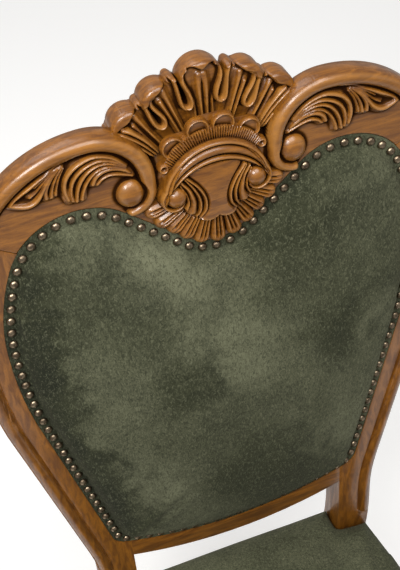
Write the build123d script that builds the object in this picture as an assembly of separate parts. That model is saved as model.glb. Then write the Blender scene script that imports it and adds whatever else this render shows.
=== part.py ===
from build123d import *
from math import acos, cos, degrees, radians, sin, sqrt, tan
import os

# Carved dining side chair: upholstered back and seat in a show-wood frame.
# Millimetres, +Z up, the sitter faces -Y. The back is drawn on its leaning front plane,
# u to the right, v up and w out towards the sitter, from the dip of the nail line.

# Stance
datum_height = 960
back_lean = 10
frame_depth = 36
bevel_depth = 13
rear_bevel = 20
bevel_stop_tilt = 45
seat_rail_top = 428
seat_rail_height = 64
seat_depth = 450
glide_height = 3
glide_radius = 9

# Nail line round the back pad, right half, from the dip over the arch to the lower rail
dip_radius = 50
ramp_angle = 41
arch_inner_radius = 57
arch_offset = 125.5
arch_outer_radius = 65
shoulder_turn = 67
shoulder_radius = 235
flank_radius = 520
flank_turn = 13
pad_drop = 409
rail_bow_radius = 400
pad_corner_radius = 16

# Borders on either side of the nail line
pad_edge = 7
opening_edge = 12
stile_show = 38
lower_rail_show = 32
lower_rail_half = 131
lower_tenon_length = 20
lower_tenon_height = 24
fit_gap = 0.3

# Crest and its shoulder joints
crest_arch_offset = 109
crest_arch_top = 153
crest_break = 18
crest_saddle = 120
joint_u = 189
joint_v = 59
joint_slope = 33
dowel_diameter = 8
dowel_length = 44
dowel_spacing = 20

# Rolled bead along the frame and its volutes
bead_radius = 7
bead_inset = 7.6
bead_lift = -2.5
bead_stop = 493
quirk_radius = 1.5
quirk_inset = 15
volute_arch_radius = 50
volute_drop = 9
volute_curl_radius = 19
volute_curl_turn = 75
volute_ball_radius = 13
volute_ball_shift = 2

# Leaf sprays under the arches, as round stems
spray_u = 67
spray_v = 101
spray_step = 7
spray_rise_radius = 37
spray_run_radius = 84
spray_run_turn = 48
hook_radius = 25
hook_drop = 8
curl_radius = 12
curl_turn = 70
finger_u = 122
finger_v = 131
finger_radius = 32
finger_heading = -10
finger_turn = 70
leaf_rod_radius = 4
ball_swell = 1.12

# Shell at the middle of the crest: lobes fan out from a point on the axis
shell_origin = 58
shell_lobes = 5
lobe_pitch = 15.7
lobe_reach = 136
lobe_fall = 0.016
lobe_root_reach = 66
lobe_root_radius = 6
lobe_tip_radius = 15.2
shell_face = 4
shell_depth = 14
lip_overhang = 0.8
fan_angle = 40
fan_radius = 112
flute_angle = 43
flute_reach = 104
flute_radius = 8

# Scallops and cartouche in front of the shell
scallop_radius = 10
scallop_height = 9
scallop_reach = 76
scallop_pitch = 17.5
cartouche_v = 72
cartouche_radius = 50
cartouche_plate = 6
scroll_bead_radius = 3.2
scroll_inner_top = 99
scroll_hollow = 13
scroll_face = 11
eye_offset = 37.5
eye_ring_radius = 14
eye_ball_radius = 9.5
eye_ball_lift = 7
shield_half_width = 25
shield_half_height = 32
shield_rise = 14
leaf_radius = 3.2
leaf_spacing = 8
leaf_bow_radius = 32
leaf_bow_offset = 10
leaf_half_turn = 45

# Gadroon skirt under the cartouche
skirt_origin = 78
skirt_flutes = 9
skirt_pitch = 15.7
skirt_reach = 66
skirt_root_reach = 26
skirt_root_radius = 4
skirt_tip_radius = 8.5
skirt_lift = 2

# Back upholstery
back_rebate = 7
back_panel_thickness = 5
cover_thickness = 1.2
crown_height = 38
crown_radius = 1250
crown_foot = 8
crown_steps = ((0, 0), (2, 0.35), (9, 0.75), (24, 1.2))
crown_corner_radius = 26
rear_rebate = 5
rear_rebate_edge = 4
rear_board_thickness = 3.5
gimp_width = 8
gimp_thickness = 2
nail_pitch = 14
nail_radius = 4.6
nail_rise = 3
nail_sides = 8
nail_taper = 32

# Rear posts and legs
bend_radius = 400
seat_bend_radius = 260
foot_depth = 28
foot_rake = 74
foot_inner_u = 143

# Seat frame
seat_front_half = 244
front_bow = 22
leg_block = 46
rail_thickness = 26
rail_setback = 2
rear_rail_setback = 5
rear_tenon_length = 18
front_arch_rise = 18
front_arch_radius = 120
front_arch_offset = 95
side_arch_rise = 12
tenon_thickness = 10
tenon_height = 40
tenon_length = 22
tenon_gap = 0.15
corner_block_leg = 58
corner_block_height = 36
screw_radius = 2.2
screw_bite = 8
screw_head_radius = 4.5
screw_head_height = 2.5
screw_inset = 16

# Cabriole front legs: radii and outward shifts along the corner's diagonal
knee_drop = 36
knee_radius = 27
knee_shift = 10
calf_radius = 19
calf_shift = 1
ankle_height = 84
ankle_radius = 13.5
ankle_shift = -6
foot_height = 16
foot_radius = 23
foot_pad_radius = 18.5
foot_shift = 7
leg_spans = 4

# Seat upholstery
seat_corner_radius = 14
seat_board_thickness = 10
seat_board_inset = 4
seat_crown_height = 47
seat_crown_radius = 1800
seat_trim = 12
seat_side_draft = 5
cover_stop = 11.5
seat_skirt = 24
seat_nail_drop = 15
seat_stile_gap = 0.5

lean_cos = cos(radians(back_lean))
lean_sin = sin(radians(back_lean))
lean_tan = tan(radians(back_lean))
reach = 400
seat_rail_bottom = seat_rail_top - seat_rail_height
back = Plane((0, 0, datum_height), x_dir=(1, 0, 0), z_dir=(0, -lean_cos, lean_sin))


def heading_vector(angle):
    return Vector(cos(radians(angle)), sin(radians(angle)))


# A path of straight runs (length, 0) and tangent arcs (radius, turn), left turns positive.
def trace(start, heading, moves):
    edges = []
    point = Vector(*start)
    for size, turn in moves:
        if turn == 0:
            end = point + heading_vector(heading) * size
            edges.append(Edge.make_line(point, end))
        else:
            side = 1 if turn > 0 else -1
            centre = point + heading_vector(heading + 90 * side) * size
            middle = centre + heading_vector(heading - 90 * side + turn / 2) * size
            end = centre + heading_vector(heading - 90 * side + turn) * size
            edges.append(Edge.make_three_point_arc(point, middle, end))
            heading += turn
        point = end
    return edges, point, heading


def mirrored(edges):
    return [edge.mirror(Plane.YZ) for edge in edges]


def prism(face, low, high):
    return extrude(Pos(0, 0, low) * face, amount=high - low, dir=(0, 0, 1))


# The nail line moved outwards by a distance, as a face with its two lower corners rounded.
ramp_length = (arch_offset - (dip_radius + arch_inner_radius) * sin(radians(ramp_angle))) / cos(
    radians(ramp_angle)
)
rail_centre = Vector(0, rail_bow_radius - pad_drop)


def nail_line_top(distance):
    return trace(
        (0, distance),
        0,
        [
            (dip_radius - distance, ramp_angle),
            (ramp_length, 0),
            (arch_inner_radius + distance, -ramp_angle),
            (arch_outer_radius + distance, -shoulder_turn),
            (shoulder_radius + distance, shoulder_turn - 90),
            (flank_radius + distance, -flank_turn),
        ],
    )


def flank_to_rail(distance):
    edges, start, heading = nail_line_top(distance)
    along = heading_vector(heading)
    from_centre = start - rail_centre
    half = from_centre.dot(along)
    radius = rail_bow_radius + distance
    run = -half + sqrt(half * half - from_centre.dot(from_centre) + radius * radius)
    return edges, start, start + along * run, run


def nail_line_face(distance, corner):
    edges, start, low_corner, run = flank_to_rail(distance)
    bottom = rail_centre - Vector(0, rail_bow_radius + distance)
    offset = low_corner - rail_centre
    between = (offset + bottom - rail_centre).normalized() * (rail_bow_radius + distance) + rail_centre
    edges = edges + [
        Edge.make_line(start, low_corner),
        Edge.make_three_point_arc(low_corner, between, bottom),
    ]
    face = make_face(edges + mirrored(edges))
    corners = [v for v in face.vertices() if abs(v.Y - low_corner.Y) < 0.01]
    return fillet(corners, corner)


opening_face = nail_line_face(-opening_edge, pad_corner_radius - opening_edge)
rebate_face = nail_line_face(pad_edge, pad_corner_radius + pad_edge)
rear_inset = opening_edge - rear_rebate_edge
rear_face = nail_line_face(-rear_inset, pad_corner_radius - rear_inset)

# Outer edge of the frame: concentric with the nail line down the flank, then upright to the floor.
widest = nail_line_top(0)[0][4] @ 1
side_u = widest.X + stile_show
break_cos = cos(radians(crest_break))
break_sin = sin(radians(crest_break))
reach_u = side_u - crest_arch_offset
reach_v = crest_arch_top - widest.Y
crest_outer_radius = (reach_u - reach_v * (1 - break_cos) / break_sin) / (
    break_cos - (1 - break_sin) * (1 - break_cos) / break_sin
)
crest_flank_radius = (reach_v - crest_outer_radius * (1 - break_sin)) / break_sin
flank_run = flank_to_rail(0)[3]
drop_to_floor = datum_height / lean_cos + reach


def outer_edges(inset):
    upper = trace(
        (crest_arch_offset, crest_arch_top - inset),
        0,
        [
            (crest_outer_radius - inset, crest_break - 90),
            (crest_flank_radius - inset, -crest_break),
        ],
    )[0]
    lower, end, heading = trace(
        (side_u - inset, widest.Y),
        -90,
        [(flank_radius + stile_show - inset, -flank_turn), (flank_run, 0)],
    )
    return upper, lower, end, heading


crest_curve, stile_curve, stile_bend, stile_heading = outer_edges(0)
leg_curve, leg_end = trace(
    (stile_bend.X, stile_bend.Y), stile_heading, [(seat_bend_radius, flank_turn), (drop_to_floor, 0)]
)[:2]
leg_outer_u = leg_end.X

# Everything below the shoulder joints belongs to the stiles.
joint_point = Vector(joint_u, joint_v)
joint_along = heading_vector(joint_slope)
joint_out = joint_point + joint_along * reach
joint_in = joint_point - joint_along * joint_u
stile_side = make_face(
    Polyline(
        joint_in, joint_out, (joint_out.X, -2 * drop_to_floor), (joint_in.X, -2 * drop_to_floor), close=True
    )
)
stile_zone = prism(stile_side, -reach, reach)


# Front profile of a stile: outer curve, foot, inner edge at the lower rail, less the pad opening.
def stile_profile():
    foot_v = -datum_height / lean_cos
    seat_v = -(datum_height - seat_rail_bottom) / lean_cos
    inner = Polyline(
        leg_end,
        (foot_inner_u, leg_end.Y),
        (foot_inner_u, foot_v),
        (lower_rail_half, seat_v),
        (lower_rail_half, crest_arch_top),
        (crest_arch_offset, crest_arch_top),
    )
    outline = make_face(crest_curve + stile_curve + leg_curve + inner.edges())
    return outline - opening_face


# Side view of a stile: sabre leg, upright through the seat rails, then leaning back.
def stile_side_view():
    lean_start = seat_rail_top + bend_radius * lean_sin
    front_y = -(datum_height - lean_start) * lean_tan - bend_radius * (1 - lean_cos)
    leg_height = seat_rail_bottom - glide_height
    rear_rake = foot_rake - (frame_depth - foot_depth)
    front_radius = (foot_rake**2 + leg_height**2) / (2 * foot_rake)
    rear_radius = (rear_rake**2 + leg_height**2) / (2 * rear_rake)
    back_run = (datum_height - lean_start) / lean_cos + reach
    front = trace(
        (front_y, seat_rail_bottom), 90, [(seat_rail_height, 0), (bend_radius, -back_lean), (back_run, 0)]
    )
    rear = trace(
        (front_y + frame_depth, seat_rail_bottom),
        90,
        [(seat_rail_height, 0), (bend_radius - frame_depth, -back_lean), (back_run, 0)],
    )
    foot_y = front_y + foot_rake
    front_leg = RadiusArc((front_y, seat_rail_bottom), (foot_y, glide_height), -front_radius)
    rear_leg = RadiusArc(
        (front_y + frame_depth, seat_rail_bottom), (foot_y + foot_depth, glide_height), -rear_radius
    )
    foot = Line(front_leg @ 1, rear_leg @ 1)
    cap = Line(front[1], rear[1])
    edges = front[0] + rear[0] + front_leg.edges() + rear_leg.edges() + foot.edges() + cap.edges()
    return make_face(edges), front_y


side_view, stile_front_y = stile_side_view()
side_slab = extrude(Plane.YZ * side_view, amount=reach, both=True)


# Mouldings along the outer edge: a bead on the front with a quirk beside it, and a bevel behind.
def above_stop(moulding, tilt):
    stop = Pos(0, -bead_stop) * Rot(tilt, 0, 0) * Pos(0, -reach / 2) * Box(2 * reach, reach, reach)
    return moulding - stop


def edge_path(inset, lift, volute_moves):
    upper, lower, end, heading = outer_edges(inset)
    volute = trace((crest_arch_offset, crest_arch_top - inset), 180, volute_moves)[0]
    bend = trace((end.X, end.Y), heading, [(seat_bend_radius + inset, flank_turn), (bead_stop / 2, 0)])[0]
    return Pos(0, 0, lift) * Wire(volute + upper + lower + bend)


def bead_rod():
    moves = [(volute_arch_radius, 90), (volute_drop, 0), (volute_curl_radius, volute_curl_turn)]
    path = edge_path(bead_inset, bead_lift, moves)
    section = Plane(path @ 0, z_dir=path % 0) * Circle(bead_radius)
    return above_stop(sweep(section, path=path), 0)


def quirk_rod():
    path = edge_path(quirk_inset, 0, [(volute_arch_radius - quirk_inset + bead_inset, 90)])
    section = Plane(path @ 0, z_dir=path % 0) * Circle(quirk_radius)
    return above_stop(sweep(section, path=path), 0)


# Where the arch runs down to the saddle that carries the shell.
saddle_radius = volute_arch_radius + bead_inset
saddle_turn = degrees(acos(1 - (crest_arch_top - crest_saddle) / saddle_radius))


def bevel_cutter():
    path = edge_path(0, 0, [(saddle_radius, saddle_turn)])
    along = path % 0
    outward = Vector(-along.Y, along.X)
    if outward.dot(path @ 0 - Vector(crest_arch_offset, crest_arch_top - saddle_radius)) < 0:
        outward = outward * -1
    start = Plane(path @ 0, x_dir=outward, z_dir=outward.cross(Vector(0, 0, 1)))
    high = -bevel_depth + (frame_depth - bevel_depth)
    low = -frame_depth - (frame_depth - bevel_depth)
    section = make_face(
        Polyline((rear_bevel, high), (rear_bevel, low), (-2 * rear_bevel, low), close=True)
    )
    return above_stop(sweep(start * section, path=path), bevel_stop_tilt)


bead = bead_rod()
quirk = quirk_rod()
bevel = bevel_cutter()


# Dowels across each shoulder joint, square to it.
def dowel_rods(radius, length):
    rods = []
    for step in (-0.5, 0.5):
        point = joint_point + joint_along * (step * dowel_spacing)
        rods.append(
            Pos(point.X, point.Y, -frame_depth / 2)
            * Rot(0, 0, joint_slope)
            * Rot(90, 0, 0)
            * Cylinder(radius, length)
        )
    return rods


# Tenons of the lower back rail.
lower_tenon_v = rail_centre.Y - (
    sqrt((rail_bow_radius - opening_edge) ** 2 - lower_rail_half**2)
    + sqrt((rail_bow_radius + lower_rail_show) ** 2 - lower_rail_half**2)
) / 2


def lower_tenon(gap):
    return Pos(lower_rail_half + lower_tenon_length / 2, lower_tenon_v, -frame_depth / 2) * Box(
        lower_tenon_length + 2 * gap, lower_tenon_height + 2 * gap, tenon_thickness + 2 * gap
    )


# Seat frame in plan.
seat_front_y = stile_front_y - seat_depth
leg_inner_x = seat_front_half - leg_block
leg_rear_y = seat_front_y + leg_block
side_slope = (seat_front_half - leg_outer_u) / (stile_front_y - leg_rear_y)
side_cos = 1 / sqrt(1 + side_slope**2)
rail_width_x = rail_thickness / side_cos
rear_rail_y = stile_front_y + rear_rail_setback
rail_mid_z = (seat_rail_top + seat_rail_bottom) / 2
front_bow_radius = (leg_inner_x**2 + front_bow**2) / (2 * front_bow)
front_bow_y = seat_front_y + rail_setback - front_bow + front_bow_radius


def side_outer_x(y):
    return leg_outer_u - rail_setback + (stile_front_y - y) * side_slope


def side_mid_x(y):
    return side_outer_x(y) - rail_width_x / 2


def side_tenons(gap):
    size = (tenon_thickness + 2 * gap, tenon_length + 2 * gap, tenon_height + 2 * gap)
    front_y = leg_rear_y - tenon_length / 2
    rear_y = stile_front_y + tenon_length / 2
    front = Pos(side_mid_x(leg_rear_y), front_y, rail_mid_z) * Box(*size)
    rear = Pos(side_mid_x(stile_front_y), rear_y, rail_mid_z) * Box(*size)
    return front, rear


def rear_tenon(gap):
    return Pos(
        lower_rail_half + rear_tenon_length / 2, rear_rail_y + rail_thickness / 2, rail_mid_z
    ) * Box(rear_tenon_length + 2 * gap, tenon_thickness + 2 * gap, tenon_height + 2 * gap)


def front_tenon(gap):
    return Pos(
        leg_inner_x + tenon_length / 2, seat_front_y + rail_setback + rail_thickness / 2, rail_mid_z
    ) * Box(tenon_length + 2 * gap, tenon_thickness + 2 * gap, tenon_height + 2 * gap)


def both_sides(shape):
    return [shape, mirror(shape, about=Plane.YZ)]


def make_stile():
    blank = prism(stile_profile(), -reach, reach) & stile_zone
    blank -= [quirk, bevel]
    blank -= prism(rebate_face, -back_rebate, reach)
    blank -= prism(rear_face, -reach, rear_rebate - frame_depth)
    blank -= dowel_rods(dowel_diameter / 2 + tenon_gap, dowel_length)
    blank -= lower_tenon(tenon_gap)
    stile = (back.location * blank) & side_slab
    stile += back.location * (bead & stile_zone)
    return stile - [side_tenons(tenon_gap)[1], rear_tenon(tenon_gap)]


# Shell block: the body behind the lobes, standing on the saddle of the crest.
def lobe_angles():
    return [(i - (shell_lobes - 1) / 2) * lobe_pitch for i in range(shell_lobes)]


def tip_reach(angle):
    return lobe_reach - lobe_fall * angle * angle


def fan_point(origin, angle, distance):
    return Vector(0, origin) + heading_vector(90 - angle) * distance


def shell_outline():
    wedge_left = fan_point(shell_origin, -fan_angle, reach)
    wedge_right = fan_point(shell_origin, fan_angle, reach)
    wedge = make_face(Polyline((0, shell_origin), wedge_right, wedge_left, close=True))
    above = Pos(0, crest_saddle + reach / 2) * Rectangle(2 * reach, reach)
    outline = (Pos(0, shell_origin) * Circle(fan_radius)) & wedge & above
    for angle in lobe_angles():
        tip = fan_point(shell_origin, angle, tip_reach(angle) - lobe_tip_radius)
        outline += Pos(tip.X, tip.Y) * Circle(lobe_tip_radius - lip_overhang)
    for angle in (-flute_angle, flute_angle):
        tip = fan_point(shell_origin, angle, flute_reach - flute_radius)
        outline += Pos(tip.X, tip.Y) * Circle(flute_radius - lip_overhang)
    return outline


shell_block = prism(shell_outline(), -shell_depth, shell_face)


# A lobe or flute: a tapering round body with a ball end, along +X.
def tapered_body(root_reach, tip, root_radius, tip_radius):
    shoulder = tip - tip_radius
    edges = [
        Edge.make_line((root_reach, 0), (root_reach, root_radius)),
        Edge.make_line((root_reach, root_radius), (shoulder, tip_radius)),
        Edge.make_three_point_arc(
            (shoulder, tip_radius),
            (shoulder + tip_radius * sin(radians(45)), tip_radius * cos(radians(45))),
            (tip, 0),
        ),
        Edge.make_line((tip, 0), (root_reach, 0)),
    ]
    return revolve(make_face(edges), axis=Axis.X)


def fan_body(origin, heading, lift, body):
    return Pos(0, origin, lift) * Rot(0, 0, heading) * body


# A round rod along a flat path, with ball ends.
def rod(edges, lift, radius):
    path = Pos(0, 0, lift) * Wire(edges)
    section = Plane(path @ 0, z_dir=path % 0) * Circle(radius)
    body = sweep(section, path=path)
    for end in (path @ 0, path @ 1):
        body += Pos(*end) * Sphere(radius * ball_swell)
    return body


# Leaf sprays springing from inside each volute and following the arch.
def leaf_sprays():
    main = trace(
        (spray_u, spray_v),
        90,
        [(spray_rise_radius, -90), (spray_run_radius, -spray_run_turn)],
    )[0]
    hook = trace(
        (spray_u + spray_step, spray_v),
        90,
        [(hook_radius, -90), (hook_radius, -90), (hook_drop, 0)],
    )[0]
    curl = trace((spray_u + 2 * spray_step, spray_v), 90, [(curl_radius, -90 - curl_turn)])[0]
    finger = trace((finger_u, finger_v), finger_heading, [(finger_radius, -finger_turn)])[0]
    return [rod(edges, 0, leaf_rod_radius) for edges in (main, hook, curl, finger)]


def make_crest():
    inner, saddle = trace((crest_arch_offset, crest_arch_top), 180, [(saddle_radius, saddle_turn)])[:2]
    half = inner + crest_curve
    low_end = crest_curve[-1] @ 1
    lines = [
        Edge.make_line(saddle, (-saddle.X, saddle.Y)),
        Edge.make_line(low_end, (-low_end.X, low_end.Y)),
    ]
    face = make_face(half + mirrored(half) + lines) - opening_face
    crest = prism(face, -frame_depth, 0)
    for cutter in (stile_zone, quirk, bevel):
        crest -= both_sides(cutter)
    ball = Pos(
        crest_arch_offset - volute_arch_radius + volute_curl_radius - volute_ball_shift,
        crest_arch_top - bead_inset - volute_arch_radius - volute_drop,
    ) * Sphere(volute_ball_radius)
    carving = [bead - stile_zone, ball] + leaf_sprays()
    floor_cut = Pos(0, 0, -reach / 2 - frame_depth / 2) * Box(2 * reach, 2 * reach, reach)
    for piece in carving:
        crest += both_sides(piece - floor_cut)
    for hole in dowel_rods(dowel_diameter / 2 + tenon_gap, dowel_length):
        crest -= both_sides(hole)
    crest -= prism(rebate_face, -back_rebate, reach)
    crest -= prism(rear_face, -reach, rear_rebate - frame_depth)
    return crest - shell_block


def make_carving(crest):
    relief = Pos(0, cartouche_v, cartouche_plate / 2) * Cylinder(cartouche_radius, cartouche_plate)
    pieces = []
    for angle in lobe_angles():
        body = tapered_body(lobe_root_reach, tip_reach(angle), lobe_root_radius, lobe_tip_radius)
        pieces.append(fan_body(shell_origin, 90 - angle, shell_face, body))
    flute = tapered_body(lobe_root_reach, flute_reach, lobe_root_radius, flute_radius)
    for angle in (-flute_angle, flute_angle):
        pieces.append(fan_body(shell_origin, 90 - angle, shell_face, flute))
    for step in (-1.5, -0.5, 0.5, 1.5):
        spot = fan_point(shell_origin, step * scallop_pitch, scallop_reach)
        pieces.append(Pos(spot.X, spot.Y, scallop_height / 2) * Cylinder(scallop_radius, scallop_height))
    gadroon = tapered_body(skirt_root_reach, skirt_reach, skirt_root_radius, skirt_tip_radius)
    for i in range(skirt_flutes):
        turn = (i - (skirt_flutes - 1) / 2) * skirt_pitch
        pieces.append(fan_body(skirt_origin, -90 + turn, skirt_lift, gadroon))
    inner_radius = (eye_offset**2 + scroll_hollow**2) / (2 * scroll_hollow)
    band = Pos(0, cartouche_v) * Circle(cartouche_radius) - Pos(0, scroll_inner_top - inner_radius) * Circle(
        inner_radius
    )
    pieces.append(prism(band, 0, scroll_face))
    rim_radius = cartouche_radius - scroll_bead_radius
    rim = trace((rim_radius, cartouche_v), 90, [(rim_radius, 90), (rim_radius, 90)])[0]
    pieces.append(rod(rim, scroll_face, scroll_bead_radius))
    shield = scale(Sphere(1), by=(shield_half_width, shield_half_height, shield_rise))
    pieces.append(Pos(0, cartouche_v, 0) * shield)
    eye = Pos(eye_offset, cartouche_v, scroll_face / 2) * Cylinder(eye_ring_radius, scroll_face)
    eye += Pos(eye_offset, cartouche_v, eye_ball_lift) * Sphere(eye_ball_radius)
    pieces += both_sides(eye)
    for radius in (leaf_bow_radius, leaf_bow_radius - leaf_spacing):
        centre_u = leaf_bow_offset + leaf_bow_radius
        start = Vector(centre_u, cartouche_v) + heading_vector(180 - leaf_half_turn) * radius
        edges = trace((start.X, start.Y), 270 - leaf_half_turn, [(radius, 2 * leaf_half_turn)])[0]
        pieces += both_sides(rod(edges, scroll_face - leaf_radius, leaf_radius))
    relief = relief.fuse(*pieces)
    front = Pos(0, 0, reach / 2) * Box(2 * reach, 2 * reach, reach)
    return ((relief & front) - crest) + shell_block


def make_lower_rail():
    outline = nail_line_face(lower_rail_show, pad_corner_radius + lower_rail_show) - opening_face
    window = Pos(0, -pad_drop) * Rectangle(2 * lower_rail_half, reach / 2)
    rail = prism(outline & window, -frame_depth, 0)
    rail -= prism(rebate_face, -back_rebate, reach)
    rail -= prism(rear_face, -reach, rear_rebate - frame_depth)
    return rail + both_sides(lower_tenon(0))


# Back upholstery: panel in the front rebate, foam with a spherical crown, cover drawn down to the nails.
panel_top = back_panel_thickness - back_rebate
flange_top = panel_top + cover_thickness
pad_middle_v = -pad_drop / 2


def nail_line_plate(distance, low, high):
    return prism(nail_line_face(distance, pad_corner_radius + distance), low, high)


def crown_body(inset):
    sections = []
    for draw_in, share in crown_steps:
        face = nail_line_face(-crown_foot - inset - draw_in, crown_corner_radius)
        sections.append(Pos(0, 0, panel_top + share * crown_height) * face)
    ball = Pos(0, pad_middle_v, panel_top + crown_height - inset - crown_radius) * Sphere(crown_radius)
    return loft(sections) & ball


def make_back_cover():
    flange = nail_line_plate(pad_edge - fit_gap, panel_top, flange_top)
    return (flange + crown_body(0)) - crown_body(cover_thickness)


def make_gimp():
    low = -frame_depth + rear_rebate - rear_board_thickness - cover_thickness
    outer = nail_line_plate(-rear_inset - fit_gap, low - gimp_thickness, low)
    inner_face = nail_line_face(-rear_inset - gimp_width, crown_corner_radius)
    return outer - prism(inner_face, low - 2 * gimp_thickness, low + gimp_thickness)


def nailhead():
    return extrude(RegularPolygon(nail_radius, nail_sides), nail_rise, taper=nail_taper)


def back_nails():
    line = nail_line_face(0, pad_corner_radius).face().outer_wire()
    count = 2 * round(line.length / nail_pitch / 2)
    start = line.param_at_point(Vector(0, 0))
    spots = [line @ ((start + (i + 0.5) / count) % 1) for i in range(count)]
    return [back.location * Pos(spot.X, spot.Y, flange_top) * nailhead() for spot in spots]


def make_side_rail():
    front_x = side_outer_x(leg_rear_y)
    rear_x = side_outer_x(stile_front_y)
    plan = make_face(
        Polyline(
            (front_x, leg_rear_y),
            (rear_x, stile_front_y),
            (rear_x - rail_width_x, stile_front_y),
            (front_x - rail_width_x, leg_rear_y),
            close=True,
        )
    )
    rail = prism(plan, seat_rail_bottom, seat_rail_top)
    half = (stile_front_y - leg_rear_y) / 2
    radius = (half**2 + side_arch_rise**2) / (2 * side_arch_rise)
    hollow = Pos(0, leg_rear_y + half, seat_rail_bottom + side_arch_rise - radius)
    rail -= hollow * Rot(0, 90, 0) * Cylinder(radius, 2 * reach)
    return rail + list(side_tenons(0))


def make_front_rail():
    centre = Pos(0, front_bow_y)
    strip = Pos(0, seat_front_y) * Rectangle(2 * leg_inner_x, 4 * leg_block)
    plan = (centre * Circle(front_bow_radius) - centre * Circle(front_bow_radius - rail_thickness)) & strip
    rail = prism(plan, seat_rail_bottom, seat_rail_top)
    hollow_z = seat_rail_bottom + front_arch_rise - front_arch_radius
    for x in (-front_arch_offset, front_arch_offset):
        rail -= Pos(x, seat_front_y, hollow_z) * Rot(90, 0, 0) * Cylinder(front_arch_radius, reach)
    return rail + both_sides(front_tenon(0))


def make_rear_rail():
    rail = Pos(0, rear_rail_y + rail_thickness / 2, rail_mid_z) * Box(
        2 * lower_rail_half, rail_thickness, seat_rail_height
    )
    return rail + both_sides(rear_tenon(0))


front_leg_x = seat_front_half - leg_block / 2
front_leg_y = seat_front_y + leg_block / 2


def diagonal_spot(shift):
    step = shift * sin(radians(45))
    return front_leg_x + step, front_leg_y - step


def make_front_leg():
    block = Pos(front_leg_x, front_leg_y, rail_mid_z) * Box(leg_block, leg_block, seat_rail_height)
    corner = block.edges().filter_by(Axis.Z).sort_by(lambda edge: edge.center().X - edge.center().Y)[-1]
    block = fillet(corner, seat_corner_radius)
    knee_z = seat_rail_bottom - knee_drop
    calf_z = (knee_z + ankle_height) / 2
    stations = (
        (seat_rail_bottom, leg_block / 2, 0),
        (knee_z, knee_radius, knee_shift),
        (calf_z, calf_radius, calf_shift),
        (ankle_height, ankle_radius, ankle_shift),
        (foot_height, foot_radius, foot_shift),
        (glide_height, foot_pad_radius, foot_shift),
    )
    sections = [Pos(*diagonal_spot(0), seat_rail_bottom) * Circle(leg_block / 2)]
    for above, below in zip(stations, stations[1:]):
        for i in range(1, leg_spans + 1):
            share = i / leg_spans
            ease = (1 - cos(radians(180 * share))) / 2
            z = above[0] + share * (below[0] - above[0])
            radius = above[1] + ease * (below[1] - above[1])
            shift = above[2] + ease * (below[2] - above[2])
            sections.append(Pos(*diagonal_spot(shift), z) * Circle(radius))
    leg = block + loft(sections, ruled=True)
    return leg - [side_tenons(tenon_gap)[0], front_tenon(tenon_gap)]


# Corner blocks glued into the seat frame, notched round the legs.
def front_corner_block():
    inner_x = side_outer_x(leg_rear_y) - rail_width_x
    end_y = leg_rear_y + corner_block_leg
    plan = make_face(
        Polyline(
            (leg_inner_x - corner_block_leg, seat_front_y),
            (leg_inner_x, seat_front_y),
            (leg_inner_x, leg_rear_y),
            (inner_x, leg_rear_y),
            (side_outer_x(end_y) - rail_width_x, end_y),
            close=True,
        )
    )
    plan = plan & Pos(0, front_bow_y) * Circle(front_bow_radius - rail_thickness)
    return prism(plan, seat_rail_top - corner_block_height, seat_rail_top)


def rear_corner_block():
    inner_x = side_outer_x(stile_front_y) - rail_width_x
    end_y = stile_front_y - corner_block_leg
    plan = make_face(
        Polyline(
            (lower_rail_half - corner_block_leg, rear_rail_y),
            (lower_rail_half, rear_rail_y),
            (lower_rail_half, stile_front_y),
            (inner_x, stile_front_y),
            (side_outer_x(end_y) - rail_width_x, end_y),
            close=True,
        )
    )
    return prism(plan, seat_rail_top - corner_block_height, seat_rail_top)


# Screws rise through the corner blocks into the seat board.
def screw_spots():
    front = (leg_inner_x - screw_inset, leg_rear_y + screw_inset)
    rear = (lower_rail_half - screw_inset, stile_front_y - screw_inset)
    return front, rear


def screw(gap):
    low = seat_rail_top - corner_block_height
    length = corner_block_height + screw_bite
    shank = Pos(0, 0, low + length / 2) * Cylinder(screw_radius + gap, length)
    return shank + Pos(0, 0, low - screw_head_height / 2) * Cylinder(screw_head_radius, screw_head_height)


# Seat outline moved outwards. Its rear edges stay inside the gap to the stiles.
cover_out = fit_gap + cover_thickness


def seat_plan(out):
    half = seat_front_half + out
    front_y = seat_front_y - out
    rear_y = stile_front_y - seat_stile_gap - (cover_out - out)
    rear_half = leg_outer_u + out / side_cos
    side = Polyline((half, front_y), (half, leg_rear_y), (rear_half, rear_y)).edges()
    front = Edge.make_three_point_arc((-half, front_y), (0, front_y - front_bow), (half, front_y))
    rear = Edge.make_line((-rear_half, rear_y), (rear_half, rear_y))
    plan = make_face([front, rear] + side + mirrored(side))
    corners = [v for v in plan.vertices() if abs(v.Y - front_y) < 0.01]
    return fillet(corners, seat_corner_radius + out), rear_y


def seat_tongue(out, start_y):
    half = lower_rail_half - seat_stile_gap - (cover_out - out)
    end_y = rear_rail_y + rail_thickness + out
    return Pos(0, (start_y + end_y) / 2) * Rectangle(2 * half, end_y - start_y)


def full_seat_plan(out):
    plan, rear_y = seat_plan(out)
    return plan + seat_tongue(out, rear_y - leg_block)


def seat_crown(out, drop):
    height = seat_board_thickness + seat_crown_height
    middle_y = (seat_front_y + stile_front_y) / 2
    plan = Pos(0, 0, seat_rail_top) * full_seat_plan(out)
    body = extrude(plan, amount=height + seat_trim, taper=seat_side_draft)
    top = seat_rail_top + height - drop
    return body & Pos(0, middle_y, top - seat_crown_radius) * Sphere(seat_crown_radius)


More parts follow.
